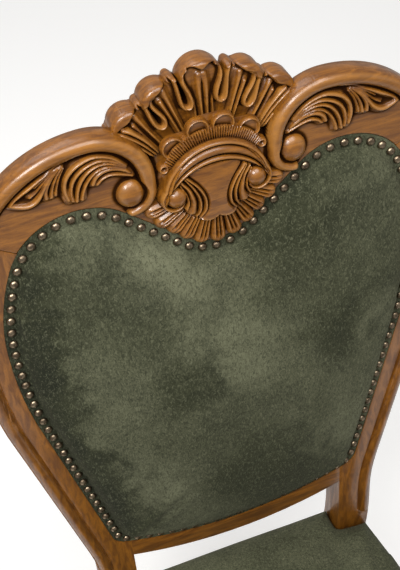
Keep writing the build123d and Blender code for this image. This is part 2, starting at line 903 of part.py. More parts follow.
def make_seat_cover():
    skirt_low = seat_rail_top - seat_skirt
    shell = seat_crown(cover_out, 0) - seat_crown(fit_gap, cover_thickness)
    ring = seat_plan(cover_out)[0] - seat_plan(fit_gap)[0]
    ring -= Pos(0, stile_front_y) * Rectangle(2 * lower_rail_half + reach, cover_stop)
    tail_half = lower_rail_half - seat_stile_gap
    tail_y = rear_rail_y + rail_thickness + fit_gap
    tail = Pos(0, tail_y + cover_thickness / 2) * Rectangle(2 * tail_half, cover_thickness)
    return shell + prism(ring, skirt_low, seat_rail_top) + prism(tail, skirt_low, seat_rail_top)


def make_seat_foam():
    above = Pos(0, 0, seat_rail_top + seat_board_thickness + reach / 2) * Box(4 * reach, 4 * reach, reach)
    return seat_crown(0, cover_thickness + fit_gap) & above


def make_seat_board():
    return prism(full_seat_plan(-seat_board_inset), seat_rail_top, seat_rail_top + seat_board_thickness)


def seat_nails():
    plan, rear_y = seat_plan(cover_out)
    nails = []
    for edge in plan.edges():
        if abs(edge.center().Y - rear_y) < 0.01:
            continue
        count = round(edge.length / nail_pitch)
        for i in range(count):
            share = (i + 0.5) / count
            spot = edge @ share
            along = edge % share
            outward = Vector(along.Y, -along.X)
            if outward.dot(spot - Vector(0, front_leg_y)) < 0:
                outward = outward * -1
            spot = Vector(spot.X, spot.Y, seat_rail_top - seat_nail_drop)
            nails.append(Plane(spot, z_dir=outward).location * nailhead())
    return nails


def foot_glides():
    front_x, front_y = diagonal_spot(foot_shift)
    rear_x = (foot_inner_u + leg_outer_u) / 2
    rear_y = stile_front_y + foot_rake + foot_depth / 2
    glides = []
    for x, y in ((front_x, front_y), (rear_x, rear_y)):
        glides += both_sides(Pos(x, y, glide_height / 2) * Cylinder(glide_radius, glide_height))
    return glides


right_stile = make_stile()
crest = make_crest()
rear_low = -frame_depth + rear_rebate
rear_distance = -rear_inset - fit_gap
front_leg = make_front_leg()
side_rail = make_side_rail()
screws = []
blocks = []
for plan_block, spot in zip((front_corner_block(), rear_corner_block()), screw_spots()):
    screws += both_sides(Pos(*spot) * screw(0))
    blocks += both_sides(plan_block - Pos(*spot) * screw(tenon_gap))
board_holes = [s for spot in screw_spots() for s in both_sides(Pos(*spot) * screw(tenon_gap))]

nodes = {
    "right_stile": right_stile,
    "left_stile": mirror(right_stile, about=Plane.YZ),
    "crest_rail": back.location * crest,
    "crest_carving": back.location * make_carving(crest),
    "crest_dowels": [
        back.location * rod
        for rods in dowel_rods(dowel_diameter / 2, dowel_length - 2 * fit_gap)
        for rod in both_sides(rods)
    ],
    "back_lower_rail": back.location * make_lower_rail(),
    "back_panel": back.location * nail_line_plate(pad_edge - fit_gap, -back_rebate, panel_top),
    "back_foam": back.location * crown_body(cover_thickness + fit_gap),
    "back_cover": back.location * make_back_cover(),
    "back_nailheads": back_nails(),
    "outside_back_board": back.location
    * nail_line_plate(rear_distance, rear_low - rear_board_thickness, rear_low),
    "outside_back_cover": back.location
    * nail_line_plate(
        rear_distance, rear_low - rear_board_thickness - cover_thickness, rear_low - rear_board_thickness
    ),
    "outside_back_gimp": back.location * make_gimp(),
    "front_seat_rail": make_front_rail(),
    "rear_seat_rail": make_rear_rail(),
    "right_seat_rail": side_rail,
    "left_seat_rail": mirror(side_rail, about=Plane.YZ),
    "front_right_leg": front_leg,
    "front_left_leg": mirror(front_leg, about=Plane.YZ),
    "front_right_block": blocks[0],
    "front_left_block": blocks[1],
    "rear_right_block": blocks[2],
    "rear_left_block": blocks[3],
    "seat_screws": screws,
    "seat_board": make_seat_board() - board_holes,
    "seat_foam": make_seat_foam(),
    "seat_cover": make_seat_cover(),
    "seat_nailheads": seat_nails(),
    "foot_glides": foot_glides(),
}


def as_compound(shape):
    return Compound(shape) if isinstance(shape, list) else shape


# The origin lies on the floor under the middle of the chair.
boxes = [as_compound(shape).bounding_box() for shape in nodes.values()]
middle_y = (min(box.min.Y for box in boxes) + max(box.max.Y for box in boxes)) / 2

os.makedirs("parts", exist_ok=True)
for name, shape in nodes.items():
    export_step(Pos(0, -middle_y, 0) * as_compound(shape), f"parts/{name}.step")
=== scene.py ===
import math

import bmesh
import bpy
import numpy as np
from mathutils import Matrix, Vector


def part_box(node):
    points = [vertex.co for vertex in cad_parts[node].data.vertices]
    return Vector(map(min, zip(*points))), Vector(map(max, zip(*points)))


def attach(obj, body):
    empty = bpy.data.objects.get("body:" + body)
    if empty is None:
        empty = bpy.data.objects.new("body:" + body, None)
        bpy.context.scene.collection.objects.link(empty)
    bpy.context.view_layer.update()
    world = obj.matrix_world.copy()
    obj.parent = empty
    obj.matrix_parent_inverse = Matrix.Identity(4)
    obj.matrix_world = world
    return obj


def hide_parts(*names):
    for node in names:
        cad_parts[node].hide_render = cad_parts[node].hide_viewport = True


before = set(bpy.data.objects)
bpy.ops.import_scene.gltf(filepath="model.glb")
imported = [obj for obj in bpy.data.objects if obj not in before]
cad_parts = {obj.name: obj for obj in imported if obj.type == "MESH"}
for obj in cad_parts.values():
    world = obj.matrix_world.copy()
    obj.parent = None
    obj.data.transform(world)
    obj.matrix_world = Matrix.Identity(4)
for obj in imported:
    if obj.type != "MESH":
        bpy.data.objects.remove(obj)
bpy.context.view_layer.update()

scene = bpy.context.scene
bpy.ops.object.select_all(action="DESELECT")
print("frame loaded:", len(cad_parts), "nodes")

# Back plane: u right, v up and w out to the sitter, in millimetres from the dip of the nail line
backPlane = {"lean": 10, "jointV": 59, "dowelDepth": 18}
leanSin = math.sin(math.radians(backPlane["lean"]))
leanCos = math.cos(math.radians(backPlane["lean"]))
axisU = np.array([1, 0, 0])
axisV = np.array([0, leanSin, leanCos])
axisW = np.array([0, -leanCos, leanSin])
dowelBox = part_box("crest_dowels")
dowelMiddle = np.array((dowelBox[0] + dowelBox[1]) / 2)
backOrigin = dowelMiddle - (axisV * backPlane["jointV"] - axisW * backPlane["dowelDepth"]) / 1000


def onBack(u, v, w):
    u, v, w = (np.asarray(x, float)[..., None] for x in np.broadcast_arrays(u, v, w))
    return backOrigin + (u * axisU + v * axisV + w * axisW) / 1000


def fromBack(points):
    flat = (np.asarray(points, float) - backOrigin) * 1000
    return flat @ axisU, flat @ axisV, flat @ axisW


# Lines and outlines on the back plane

def traceLine(start, heading, moves, step=2.0):
    points = [np.array(start, float)]
    for size, turn in moves:    # straight run (length, 0) or tangent arc (radius, turn)
        angle = math.radians(heading)
        if turn == 0:
            points.append(points[-1] + size * np.array([math.cos(angle), math.sin(angle)]))
            continue
        side = 1 if turn > 0 else -1
        centre = points[-1] + size * side * np.array([-math.sin(angle), math.cos(angle)])
        count = max(2, math.ceil(abs(math.radians(turn)) * size / step))
        for i in range(1, count + 1):
            a = math.radians(heading - 90 * side + turn * i / count)
            points.append(centre + size * np.array([math.cos(a), math.sin(a)]))
        heading += turn
    return np.array(points), heading


def smoothLine(points, perSpan=10):
    p = np.array(points, float)    # every column is carried along, so widths follow the line
    p = np.vstack([2 * p[0] - p[1], p, 2 * p[-1] - p[-2]])
    t = np.linspace(0, 1, perSpan, endpoint=False)[:, None]
    spans = [
        0.5 * (2 * b + (c - a) * t + (2 * a - 5 * b + 4 * c - d) * t**2 + (3 * b - a - 3 * c + d) * t**3)
        for a, b, c, d in zip(p, p[1:], p[2:], p[3:])
    ]
    return np.vstack(spans + [p[-2:-1]])


nailLine = {
    "dip": 50, "ramp": 41, "archInner": 57, "archOffset": 125.5, "archOuter": 65, "shoulderTurn": 67,
    "shoulder": 235, "flank": 520, "flankTurn": 13, "drop": 409, "railBow": 400, "corner": 16,
}


def nailLineHalf(out):
    n = nailLine
    rampSin = math.sin(math.radians(n["ramp"]))
    rampCos = math.cos(math.radians(n["ramp"]))
    run = (n["archOffset"] - (n["dip"] + n["archInner"]) * rampSin) / rampCos
    moves = [
        (n["dip"] - out, n["ramp"]), (run, 0), (n["archInner"] + out, -n["ramp"]),
        (n["archOuter"] + out, -n["shoulderTurn"]), (n["shoulder"] + out, n["shoulderTurn"] - 90),
        (n["flank"] + out, -n["flankTurn"]),
    ]
    return traceLine((0, out), 0, moves)


def nailLineLoop(out):
    n = nailLine
    side, heading = nailLineHalf(out)
    along = np.array([math.cos(math.radians(heading)), math.sin(math.radians(heading))])
    centre = np.array([0, n["railBow"] - n["drop"]])
    corner = n["corner"] + out
    inward = np.array([along[1], -along[0]])
    onFlank = side[-1] + inward * corner - centre    # the corner arc touches the flank and the bowed rail
    reach = n["railBow"] + out - corner
    half = onFlank @ along
    runOut = -half + math.sqrt(half * half - onFlank @ onFlank + reach * reach)
    cornerCentre = centre + onFlank + along * runOut
    first = math.degrees(math.atan2(*(-inward)[::-1]))
    down = cornerCentre - centre
    last = math.degrees(math.atan2(down[1], down[0]))
    last -= 360 if last > first else 0
    arc = [
        cornerCentre + corner * np.array([math.cos(a), math.sin(a)])
        for a in np.radians(np.linspace(first, last, 14))
    ]
    sweep = np.radians(np.linspace(last % 360, 270, 40))
    bottom = centre + (n["railBow"] + out) * np.column_stack([np.cos(sweep), np.sin(sweep)])
    straight = np.linspace(side[-1], arc[0], 60)[1:-1]
    right = np.vstack([side, straight, arc, bottom[1:]])
    left = right[-2:0:-1] * [-1, 1]
    return np.vstack([right, left])


crestEdge = {
    "archOffset": 109, "archTop": 153, "break": 18, "stileShow": 38, "saddle": 120, "beadInset": 7.6,
    "volute": 50, "voluteDrop": 9, "curl": 19, "curlTurn": 86, "padEdge": 7,
    "jointU": 189, "jointV": 59, "jointSlope": 33,
}


def crestArcs():
    c = crestEdge
    side = nailLineHalf(0)[0]
    widest = side[np.argmax(side[:, 0])]
    sine, cosine = math.sin(math.radians(c["break"])), math.cos(math.radians(c["break"]))
    acrossU = widest[0] + c["stileShow"] - c["archOffset"]
    upV = c["archTop"] - widest[1]
    outer = (acrossU - upV * (1 - cosine) / sine) / (cosine - (1 - sine) * (1 - cosine) / sine)
    return outer, (upV - outer * (1 - sine)) / sine


crestOuter, crestFlank = crestArcs()


def crestCurve(inset):
    c = crestEdge
    moves = [(crestOuter - inset, c["break"] - 90), (crestFlank - inset, -c["break"])]
    return traceLine((c["archOffset"], c["archTop"] - inset), 0, moves)[0]


# Relief carving: a fine sheet raised by ridges, cut by grooves and trimmed to an outline

def makeSheet(lowU, highU, lowV, highV, step):
    u = np.arange(lowU, highU + step / 2, step)
    v = np.arange(lowV, highV + step / 2, step)
    return np.meshgrid(u, v)


def nearLine(gridU, gridV, line, margin=0.0):    # a line's rows are u, v, half width and height
    reach = line[:, 2].max() + margin
    near = (gridU > line[:, 0].min() - reach) & (gridU < line[:, 0].max() + reach)
    near &= (gridV > line[:, 1].min() - reach) & (gridV < line[:, 1].max() + reach)
    u, v = gridU[near], gridV[near]
    best = np.full(u.shape, 1e9)
    half = np.ones(u.shape)
    top = np.zeros(u.shape)
    for a, b in zip(line, line[1:]):
        du, dv = b[0] - a[0], b[1] - a[1]
        t = np.clip(((u - a[0]) * du + (v - a[1]) * dv) / (du * du + dv * dv + 1e-9), 0, 1)
        away = np.hypot(u - a[0] - t * du, v - a[1] - t * dv)
        width = a[2] + t * (b[2] - a[2])
        closer = away - width < best
        best[closer] = (away - width)[closer]
        half[closer] = width[closer]
        top[closer] = (a[3] + t * (b[3] - a[3]))[closer]
    return near, best, half, top


def ridge(relief, gridU, gridV, points, base=0.0, roundness=0.5, perSpan=10):
    near, away, half, top = nearLine(gridU, gridV, smoothLine(points, perSpan))
    across = np.clip(1 + away / half, 0, 1)
    raised = base + top * (1 - across**2) ** roundness
    relief[near] = np.where(away < 0, np.maximum(relief[near], raised), relief[near])


def groove(relief, gridU, gridV, points, perSpan=10):
    near, away, half, top = nearLine(gridU, gridV, smoothLine(points, perSpan))
    across = np.clip(1 + away / half, 0, 1)
    relief[near] -= np.where(away < 0, top * (1 - across**2), 0)


def dome(relief, gridU, gridV, u, v, halfU, halfV, base, top):
    across = ((gridU - u) / halfU) ** 2 + ((gridV - v) / halfV) ** 2
    raised = base + top * np.sqrt(np.clip(1 - across, 0, 1))
    relief[:] = np.where(across < 1, np.maximum(relief, raised), relief)


def clearField(gridU):
    return np.full(gridU.shape, 50.0)    # further out than any stroke reaches


def strokeField(gridU, gridV, points, perSpan=10):
    field = clearField(gridU)
    near, away = nearLine(gridU, gridV, smoothLine(points, perSpan), margin=8)[:2]
    field[near] = np.minimum(field[near], away)
    return field


def loopField(gridU, gridV, loop):
    best = np.full(gridU.shape, 1e9)    # distance to a closed outline, below zero inside
    inside = np.zeros(gridU.shape, bool)
    for a, b in zip(loop, np.roll(loop, -1, axis=0)):
        d = b - a
        length = d @ d
        if length < 1e-12:
            continue
        t = np.clip(((gridU - a[0]) * d[0] + (gridV - a[1]) * d[1]) / length, 0, 1)
        best = np.minimum(best, (gridU - a[0] - t * d[0]) ** 2 + (gridV - a[1] - t * d[1]) ** 2)
        if a[1] != b[1]:
            crossing = (a[1] > gridV) != (b[1] > gridV)
            inside ^= crossing & (gridU < d[0] * (gridV - a[1]) / d[1] + a[0])
    return np.sqrt(best) * np.where(inside, -1, 1)


def blurred(values, radius):
    width = 2 * radius + 1
    for axis in (0, 0, 1, 1):
        padded = np.pad(values, [(radius, radius) if k == axis else (0, 0) for k in (0, 1)], mode="edge")
        total = np.insert(np.cumsum(padded, axis=axis), 0, 0, axis=axis)
        high = np.take(total, np.arange(width, total.shape[axis]), axis=axis)
        low = np.take(total, np.arange(0, total.shape[axis] - width), axis=axis)
        values = (high - low) * (1 / width)
    return values


def sampled(grid, rows, columns):
    r0 = np.clip(np.floor(rows).astype(int), 0, grid.shape[0] - 2)
    c0 = np.clip(np.floor(columns).astype(int), 0, grid.shape[1] - 2)
    fr, fc = rows - r0, columns - c0
    top = grid[r0 + 1, c0] * (1 - fc) + grid[r0 + 1, c0 + 1] * fc
    low = grid[r0, c0] * (1 - fc) + grid[r0, c0 + 1] * fc
    return low * (1 - fr) + top * fr


carving = {"leastSlope": 0.3, "pullIn": 0.3, "hollowFade": 2.5, "smoothDegrees": 50}


def trimSheet(gridU, gridV, field, relief, ease, hollowSpan):
    step = gridU[0, 1] - gridU[0, 0]
    slopeV, slopeU = np.gradient(field, step)
    steep = np.maximum(np.hypot(slopeU, slopeV), carving["leastSlope"])
    outside = field > -carving["pullIn"] * step
    solid = ~outside
    keep = solid[:-1, :-1] | solid[1:, :-1] | solid[:-1, 1:] | solid[1:, 1:]
    move = np.where(outside, field, 0)    # points past the outline are drawn back onto it
    u = gridU - move * slopeU / steep
    v = gridV - move * slopeV / steep
    edge = np.clip(np.where(outside, 0, -field), 0, ease)
    eased = relief - (ease - np.sqrt(np.maximum(ease**2 - (ease - edge) ** 2, 0)))
    row, column = (v - gridV[0, 0]) / step, (u - gridU[0, 0]) / step
    w = np.where(outside, sampled(relief, row, column) - ease, eased)
    hollow = sampled(blurred(relief, hollowSpan) - relief, row, column)
    hollow *= np.clip(-field / carving["hollowFade"], 0, 1)
    number = np.arange(gridU.size).reshape(gridU.shape)
    cells = np.stack([number[:-1, :-1], number[:-1, 1:], number[1:, 1:], number[1:, :-1]], -1)[keep]
    used, order = np.unique(cells, return_inverse=True)
    front = np.column_stack([grid.ravel()[used] for grid in (u, v, w)])
    inward = -np.column_stack([(slope / steep).ravel()[used] for slope in (slopeU, slopeV)])
    return front, inward, hollow.ravel()[used], order.reshape(-1, 4)


def carvedPiece(name, gridU, gridV, field, relief, ease, rings, place=onBack, hollowSpan=5):
    front, inward, hollow, cells = trimSheet(gridU, gridV, field, relief, ease, hollowSpan)
    count = len(front)
    starts, ends = cells.ravel(), np.roll(cells, -1, axis=1).ravel()
    rim = ~np.isin(starts * count + ends, ends * count + starts)    # edges with a face on one side only
    a, b = starts[rim], ends[rim]
    rimPoints = np.unique(a)
    here = np.arange(count)
    corners, faces = [front], [cells]
    for i, (inset, depth) in enumerate(rings):    # walls go back ring by ring to the rear face
        there = np.full(count, -1)
        there[rimPoints] = count + i * len(rimPoints) + np.arange(len(rimPoints))
        ring = front[rimPoints].copy()
        ring[:, 2] = depth(ring[:, 0], ring[:, 1]) if callable(depth) else depth
        ring[:, :2] += inset(ring[:, 0], ring[:, 1]) if callable(inset) else inset * inward[rimPoints]
        corners.append(ring)
        faces.append(np.column_stack([here[a], there[a], there[b], here[b]]))
        here = there
    corners = np.vstack(corners)
    mesh = bpy.data.meshes.new(name)
    mesh.from_pydata(place(*corners.T).tolist(), [], np.vstack(faces).tolist())
    depths = np.zeros(len(corners), np.float32)
    depths[:count] = hollow
    mesh.attributes.new("hollow", "FLOAT", "POINT").data.foreach_set("value", depths)
    shape = bmesh.new()
    shape.from_mesh(mesh)
    rearEdges = [e for e in shape.edges if e.is_boundary]
    bmesh.ops.triangle_fill(shape, use_beauty=True, use_dissolve=False, edges=rearEdges)
    bmesh.ops.remove_doubles(shape, verts=shape.verts, dist=1e-6)
    bmesh.ops.recalc_face_normals(shape, faces=shape.faces)
    shape.to_mesh(mesh)
    shape.free()
    piece = bpy.data.objects.new(name, mesh)
    scene.collection.objects.link(piece)
    smoothByAngle(piece, carving["smoothDegrees"])
    print(name, len(mesh.polygons), "faces")
    return piece


def pickOnly(piece):
    bpy.ops.object.select_all(action="DESELECT")
    piece.select_set(True)
    bpy.context.view_layer.objects.active = piece


def smoothByAngle(piece, degrees):
    pickOnly(piece)
    bpy.ops.object.shade_smooth_by_angle(angle=math.radians(degrees))


def finishPiece(piece, material, nodes):
    piece.data.materials.clear()
    piece.data.materials.append(material)
    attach(piece, "root")
    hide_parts(*nodes)


# Materials

def paint(code):
    parts = [int(code[i : i + 2], 16) / 255 for i in (1, 3, 5)]
    return tuple(x / 12.92 if x < 0.04045 else ((x + 0.055) / 1.055) ** 2.4 for x in parts) + (1,)


def link(tree, start, end):
    tree.links.new(start, end)


def newMaterial(name):
    material = bpy.data.materials.new(name)
    material.use_nodes = True
    tree = material.node_tree
    return material, tree, tree.nodes["Principled BSDF"]


def newGroup(name, inputs, outputs):
    group = bpy.data.node_groups.new(name, "ShaderNodeTree")
    for label, kind in inputs:
        group.interface.new_socket(label, in_out="INPUT", socket_type=kind)
    for label, kind in outputs:
        group.interface.new_socket(label, in_out="OUTPUT", socket_type=kind)
    return group, group.nodes.new("NodeGroupInput"), group.nodes.new("NodeGroupOutput")


def addNode(tree, kind, **settings):
    node = tree.nodes.new(kind)
    for key, value in settings.items():
        if hasattr(node, key):
            setattr(node, key, value)
        else:
            node.inputs[key].default_value = value
    return node


def plug(tree, socket, value):    # a number or colour is set, anything else is linked
    if isinstance(value, (int, float, tuple)):
        socket.default_value = value
    else:
        link(tree, value, socket)


def setInputs(node, values):
    for label, value in values.items():
        node.inputs[label].default_value = value


def addMath(tree, operation, first, second):
    node = addNode(tree, "ShaderNodeMath", operation=operation)
    plug(tree, node.inputs[0], first)
    plug(tree, node.inputs[1], second)
    return node.outputs[0]


def addMix(tree, share, first, second):
    node = addNode(tree, "ShaderNodeMix", data_type="RGBA")
    for number, value in ((0, share), (6, first), (7, second)):
        plug(tree, node.inputs[number], value)
    return node.outputs[2]


def addRange(tree, value, low, high, toLow=0.0, toHigh=1.0):
    node = addNode(tree, "ShaderNodeMapRange", interpolation_type="SMOOTHSTEP")
    link(tree, value, node.inputs["Value"])
    setInputs(node, {"From Min": low, "From Max": high, "To Min": toLow, "To Max": toHigh})
    return node.outputs["Result"]


def addNoise(tree, vector, scale, detail, rough, distortion=0.0):
    node = addNode(tree, "ShaderNodeTexNoise")
    setInputs(node, {"Scale": scale, "Detail": detail, "Roughness": rough, "Distortion": distortion})
    link(tree, vector, node.inputs["Vector"])
    return node


def objectPlace(tree, **settings):
    place = addNode(tree, "ShaderNodeTexCoord").outputs["Object"]
    if not settings:
        return place
    turn = addNode(tree, "ShaderNodeMapping", **settings)
    link(tree, place, turn.inputs["Vector"])
    return turn.outputs["Vector"]


def addBump(tree, shader, height, strength, distance):
    bump = addNode(tree, "ShaderNodeBump", Strength=strength, Distance=distance)
    link(tree, height, bump.inputs["Height"])
    link(tree, bump.outputs["Normal"], shader.inputs["Normal"])


def buildGrain():
    ports = [("Figure", "NodeSocketFloat"), ("Pores", "NodeSocketFloat")]
    group, start, end = newGroup("woodGrain", [("Vector", "NodeSocketVector")], ports)
    figure = addNoise(group, start.outputs["Vector"], 9.0, 5.0, 0.55, 0.7)
    pores = addNoise(group, start.outputs["Vector"], 70.0, 3.0, 0.6)
    link(group, addRange(group, figure.outputs["Fac"], 0.3, 0.7), end.inputs["Figure"])
    link(group, addRange(group, pores.outputs["Fac"], 0.52, 0.68), end.inputs["Pores"])
    return group


woodGrain = buildGrain()

# wear and painted highlight on the ridges, dark glaze and painted shade in the cuts: range of the hollow
# attribute, then the share of the colour
woodFinish = {
    "light": "#8a5618", "deep": "#5f360b", "pore": "#44260b", "shadeGlazeColour": "#1c0b03", "worn": "#b07a3a",
    "poreShare": 0.45, "wear": (-0.25, -2.2, 0, 0.5), "cutGlazeAndShade": (0.02, 1.5, 0, 0.95), "rough": (0.28, 0.36),
    "shadeRough": 0.4, "specular": 0.5, "shadeSpecular": 0.03, "coat": 0.3, "coatRough": 0.16,
    "bumpStrength": 0.12, "bumpDepth": 0.0004,
}


def woodMaterial(name, stretch):
    f = woodFinish
    material, tree, shader = newMaterial(name)
    grain = addNode(tree, "ShaderNodeGroup", node_tree=woodGrain)
    link(tree, objectPlace(tree, Scale=stretch), grain.inputs["Vector"])
    colour = addMix(tree, grain.outputs["Figure"], paint(f["light"]), paint(f["deep"]))
    pores = addMath(tree, "MULTIPLY", grain.outputs["Pores"], f["poreShare"])
    colour = addMix(tree, pores, colour, paint(f["pore"]))
    hollow = addNode(tree, "ShaderNodeAttribute", attribute_name="hollow").outputs["Fac"]
    colour = addMix(tree, addRange(tree, hollow, *f["wear"]), colour, paint(f["worn"]))    # rubbed ridges, lighter also as a painted highlight
    cutGlazeAndShade = addRange(tree, hollow, *f["cutGlazeAndShade"])    # dark glaze and painted shade in the cuts, with less gloss
    colour = addMix(tree, cutGlazeAndShade, colour, paint(f["shadeGlazeColour"]))
    rough = addRange(tree, grain.outputs["Figure"], 0, 1, *f["rough"])
    rough = addMath(tree, "ADD", rough, addRange(tree, cutGlazeAndShade, 0, 0.8, 0, f["shadeRough"]))
    setInputs(shader, {
        "Specular IOR Level": f["specular"], "Coat Weight": f["coat"], "Coat Roughness": f["coatRough"],
    })
    gloss = addRange(tree, cutGlazeAndShade, 0, 0.8, f["specular"], f["shadeSpecular"])
    link(tree, gloss, shader.inputs["Specular IOR Level"])
    link(tree, addRange(tree, cutGlazeAndShade, 0, 0.6, f["coat"], 0), shader.inputs["Coat Weight"])
    link(tree, colour, shader.inputs["Base Color"])
    link(tree, rough, shader.inputs["Roughness"])
    addBump(tree, shader, grain.outputs["Pores"], f["bumpStrength"], f["bumpDepth"])
    return material


woodAcross = woodMaterial("carvedWoodAcross", (3, 22, 22))
woodUpright = woodMaterial("carvedWoodUpright", (22, 22, 3))
woodAlong = woodMaterial("railWoodAlong", (22, 3, 22))

# noises: scale, detail, roughness and distortion
suedeFinish = {
    "dark": "#1c1f15", "mid": "#343625", "light": "#6f7058", "scuff": "#7b7c63", "sheen": "#b8b89c",
    "clouds": (6.5, 3.0, 0.55, 0.4), "streaks": (24.0, 5.0, 0.62, 0.5), "fibres": (470.0, 3.0, 0.65, 1.2),
    "fibreTurn": (0, 0.6, 0), "fibreStretch": (1, 1, 0.5), "drift": 0.09, "patchCore": 10, "patchHeight": 20,
    "bumpStrength": 0.5, "bumpDepth": 0.0008,
}
# painted light and shade on the back pad: change of tone, then (u, v, radius) of each patch; lighter patches
# are painted light, darker ones painted shade
paintedLightAndShade = {
    0.26: [
        (-84, 48, 70), (-60, -2, 75), (-52, 8, 55), (-8, -38, 65), (12, -112, 80), (-135, -88, 62),
        (-88, -268, 66), (165, -140, 45), (130, -290, 60),
    ],
    -0.4: [(-54, -138, 52), (14, -290, 85), (115, -140, 58), (60, -350, 80), (60, 15, 60)],
    -0.9: [
        (-168, 82, 48), (-198, 20, 54), (-205, -45, 54), (-200, -105, 52), (-189, -165, 52), (-175, -225, 52),
        (-160, -285, 52), (-142, -345, 56),
    ],
}


def paintLightAndShade(tree, toneAndPaintedLight, place, streaks):
    f = suedeFinish
    drift = addNode(tree, "ShaderNodeVectorMath", operation="MULTIPLY_ADD")    # ragged edges to the patches
    link(tree, streaks.outputs["Color"], drift.inputs[0])
    drift.inputs[1].default_value = (f["drift"],) * 3
    link(tree, place, drift.inputs[2])
    for change, patches in paintedLightAndShade.items():
        for u, v, radius in patches:
            away = addNode(tree, "ShaderNodeVectorMath", operation="DISTANCE")
            link(tree, drift.outputs["Vector"], away.inputs[0])
            away.inputs[1].default_value = tuple(onBack(u, v, f["patchHeight"]) + f["drift"] / 2)
            patch = addRange(tree, away.outputs["Value"], radius / 1000, f["patchCore"] / 1000, 0, change)
            toneAndPaintedLight = addMath(tree, "ADD", toneAndPaintedLight, patch)
    return toneAndPaintedLight


def suedeMaterial():
    f = suedeFinish
    material, tree, shader = newMaterial("oliveSuede")
    place = objectPlace(tree)
    clouds = addNoise(tree, place, *f["clouds"])
    streaks = addNoise(tree, place, *f["streaks"])
    slant = objectPlace(tree, Rotation=f["fibreTurn"], Scale=f["fibreStretch"])
    fibres = addNoise(tree, slant, *f["fibres"]).outputs["Fac"]
    toneAndPaintedLight = addRange(tree, clouds.outputs["Fac"], 0.35, 0.7, 0.12, 0.4)
    # the random cloud tone takes the painted light and shade patches
    toneAndPaintedLight = paintLightAndShade(tree, toneAndPaintedLight, place, streaks)
    colour = addMix(tree, addRange(tree, toneAndPaintedLight, -0.1, 1), paint(f["mid"]), paint(f["light"]))
    turned = addRange(tree, toneAndPaintedLight, 0.1, -0.7, 0, 0.8)    # darker where the painted shade patches lie
    shade = addRange(tree, streaks.outputs["Fac"], 0.55, 0.35, 0, 0.3)
    pits = addRange(tree, fibres, 0.52, 0.36, 0, 0.55)
    for share in (turned, shade, pits):
        colour = addMix(tree, share, colour, paint(f["dark"]))
    colour = addMix(tree, addRange(tree, fibres, 0.51, 0.68, 0, 0.34), colour, paint(f["scuff"]))
    link(tree, colour, shader.inputs["Base Color"])
    setInputs(shader, {
        "Roughness": 0.92, "Specular IOR Level": 0.15, "Sheen Weight": 0.08, "Sheen Roughness": 0.5,
        "Sheen Tint": paint(f["sheen"]),
    })
    addBump(tree, shader, fibres, f["bumpStrength"], f["bumpDepth"])
    return material


suede = suedeMaterial()


def metalMaterial(name, clean, tarnish, rough):
    material, tree, shader = newMaterial(name)
    spots = addNoise(tree, objectPlace(tree), 260.0, 3.0, 0.6).outputs["Fac"]
    share = addRange(tree, spots, 0.4, 0.62)
    link(tree, addMix(tree, share, paint(clean), paint(tarnish)), shader.inputs["Base Color"])
    link(tree, addRange(tree, spots, 0.4, 0.65, rough, rough + 0.14), shader.inputs["Roughness"])
    shader.inputs["Metallic"].default_value = 1.0
    return material


nailBrass = metalMaterial("agedNailBrass", "#90806a", "#605242", 0.3)
screwSteel = metalMaterial("screwSteel", "#b4b4b2", "#8a8a88", 0.35)


def plainMaterial(name, first, second, scale, rough, bumpDepth):
    material, tree, shader = newMaterial(name)
    speck = addNoise(tree, objectPlace(tree, Scale=scale), 12.0, 5.0, 0.6).outputs["Fac"]
    share = addRange(tree, speck, 0.35, 0.65)
    link(tree, addMix(tree, share, paint(first), paint(second)), shader.inputs["Base Color"])
    link(tree, addRange(tree, speck, 0.3, 0.7, rough, rough + 0.12), shader.inputs["Roughness"])
    addBump(tree, shader, speck, 0.3, bumpDepth)
    return material


blankWood = plainMaterial("blankBeech", "#cfa878", "#b88d5c", (8, 30, 30), 0.6, 0.0004)
plyBoard = plainMaterial("birchPly", "#d3b58a", "#bf9c6e", (6, 26, 26), 0.62, 0.0003)
glidePlastic = plainMaterial("glidePlastic", "#2a2521", "#1f1b18", (60, 60, 60), 0.45, 0.0001)
gimpBraid = plainMaterial("gimpBraid", "#454836", "#2f3226", (160, 160, 160), 0.85, 0.0006)
print("materials made")

# Camera at the photograph's angle
cameraView = {
    "place": (-248.4, 653.1, 743.6), "azimuth": 20.417, "pitch": 51.308, "roll": 0.761,
    "focalPixels": 1100, "longPixels": 570, "sensor": 36,
}


def addCamera():
    c = cameraView
    az, pitch, roll = (math.radians(c[k]) for k in ("azimuth", "pitch", "roll"))
    ahead = Vector((math.sin(az) * math.cos(pitch), math.cos(az) * math.cos(pitch), -math.sin(pitch)))
    level = Vector((math.cos(az), -math.sin(az), 0))
    down = ahead.cross(level)
    right = level * math.cos(roll) + down * math.sin(roll)
    up = -(down * math.cos(roll) - level * math.sin(roll))
    turn = Matrix((right, up, -ahead)).transposed()
    data = bpy.data.cameras.new("photoCamera")
    data.sensor_width = c["sensor"]
    data.lens = c["focalPixels"] * c["sensor"] / c["longPixels"]
    data.clip_start, data.clip_end = 0.05, 50
    camera = bpy.data.objects.new("photoCamera", data)
    camera.matrix_world = Matrix.Translation(onBack(*c["place"])) @ turn.to_4x4()
    scene.collection.objects.link(camera)
    scene.camera = camera


addCamera()

# Studio: pale floor, white surround, soft lamps from the upper left, front, side and rear
studio = {
    "ambient": 0.32, "white": 0.6, "shine": 0.1, "tone": (1, 1, 0.995, 1), "aim": (0, 0.2, 0.9),
    "floorSize": 14, "floorTone": "#efeeec", "floorGlow": 0.3,
}
lamps = [
    {"name": "keyLamp", "place": (-0.85, -0.5, 2.3), "size": 0.6, "watts": 27},
    {"name": "frontLamp", "place": (0.15, -0.4, 2.6), "size": 1.1, "watts": 23},
    {"name": "sideLamp", "place": (1.6, -0.9, 1.6), "size": 0.8, "watts": 1},
    {"name": "topLamp", "place": (-0.5, 1.3, 2.5), "size": 1.2, "watts": 11},
]


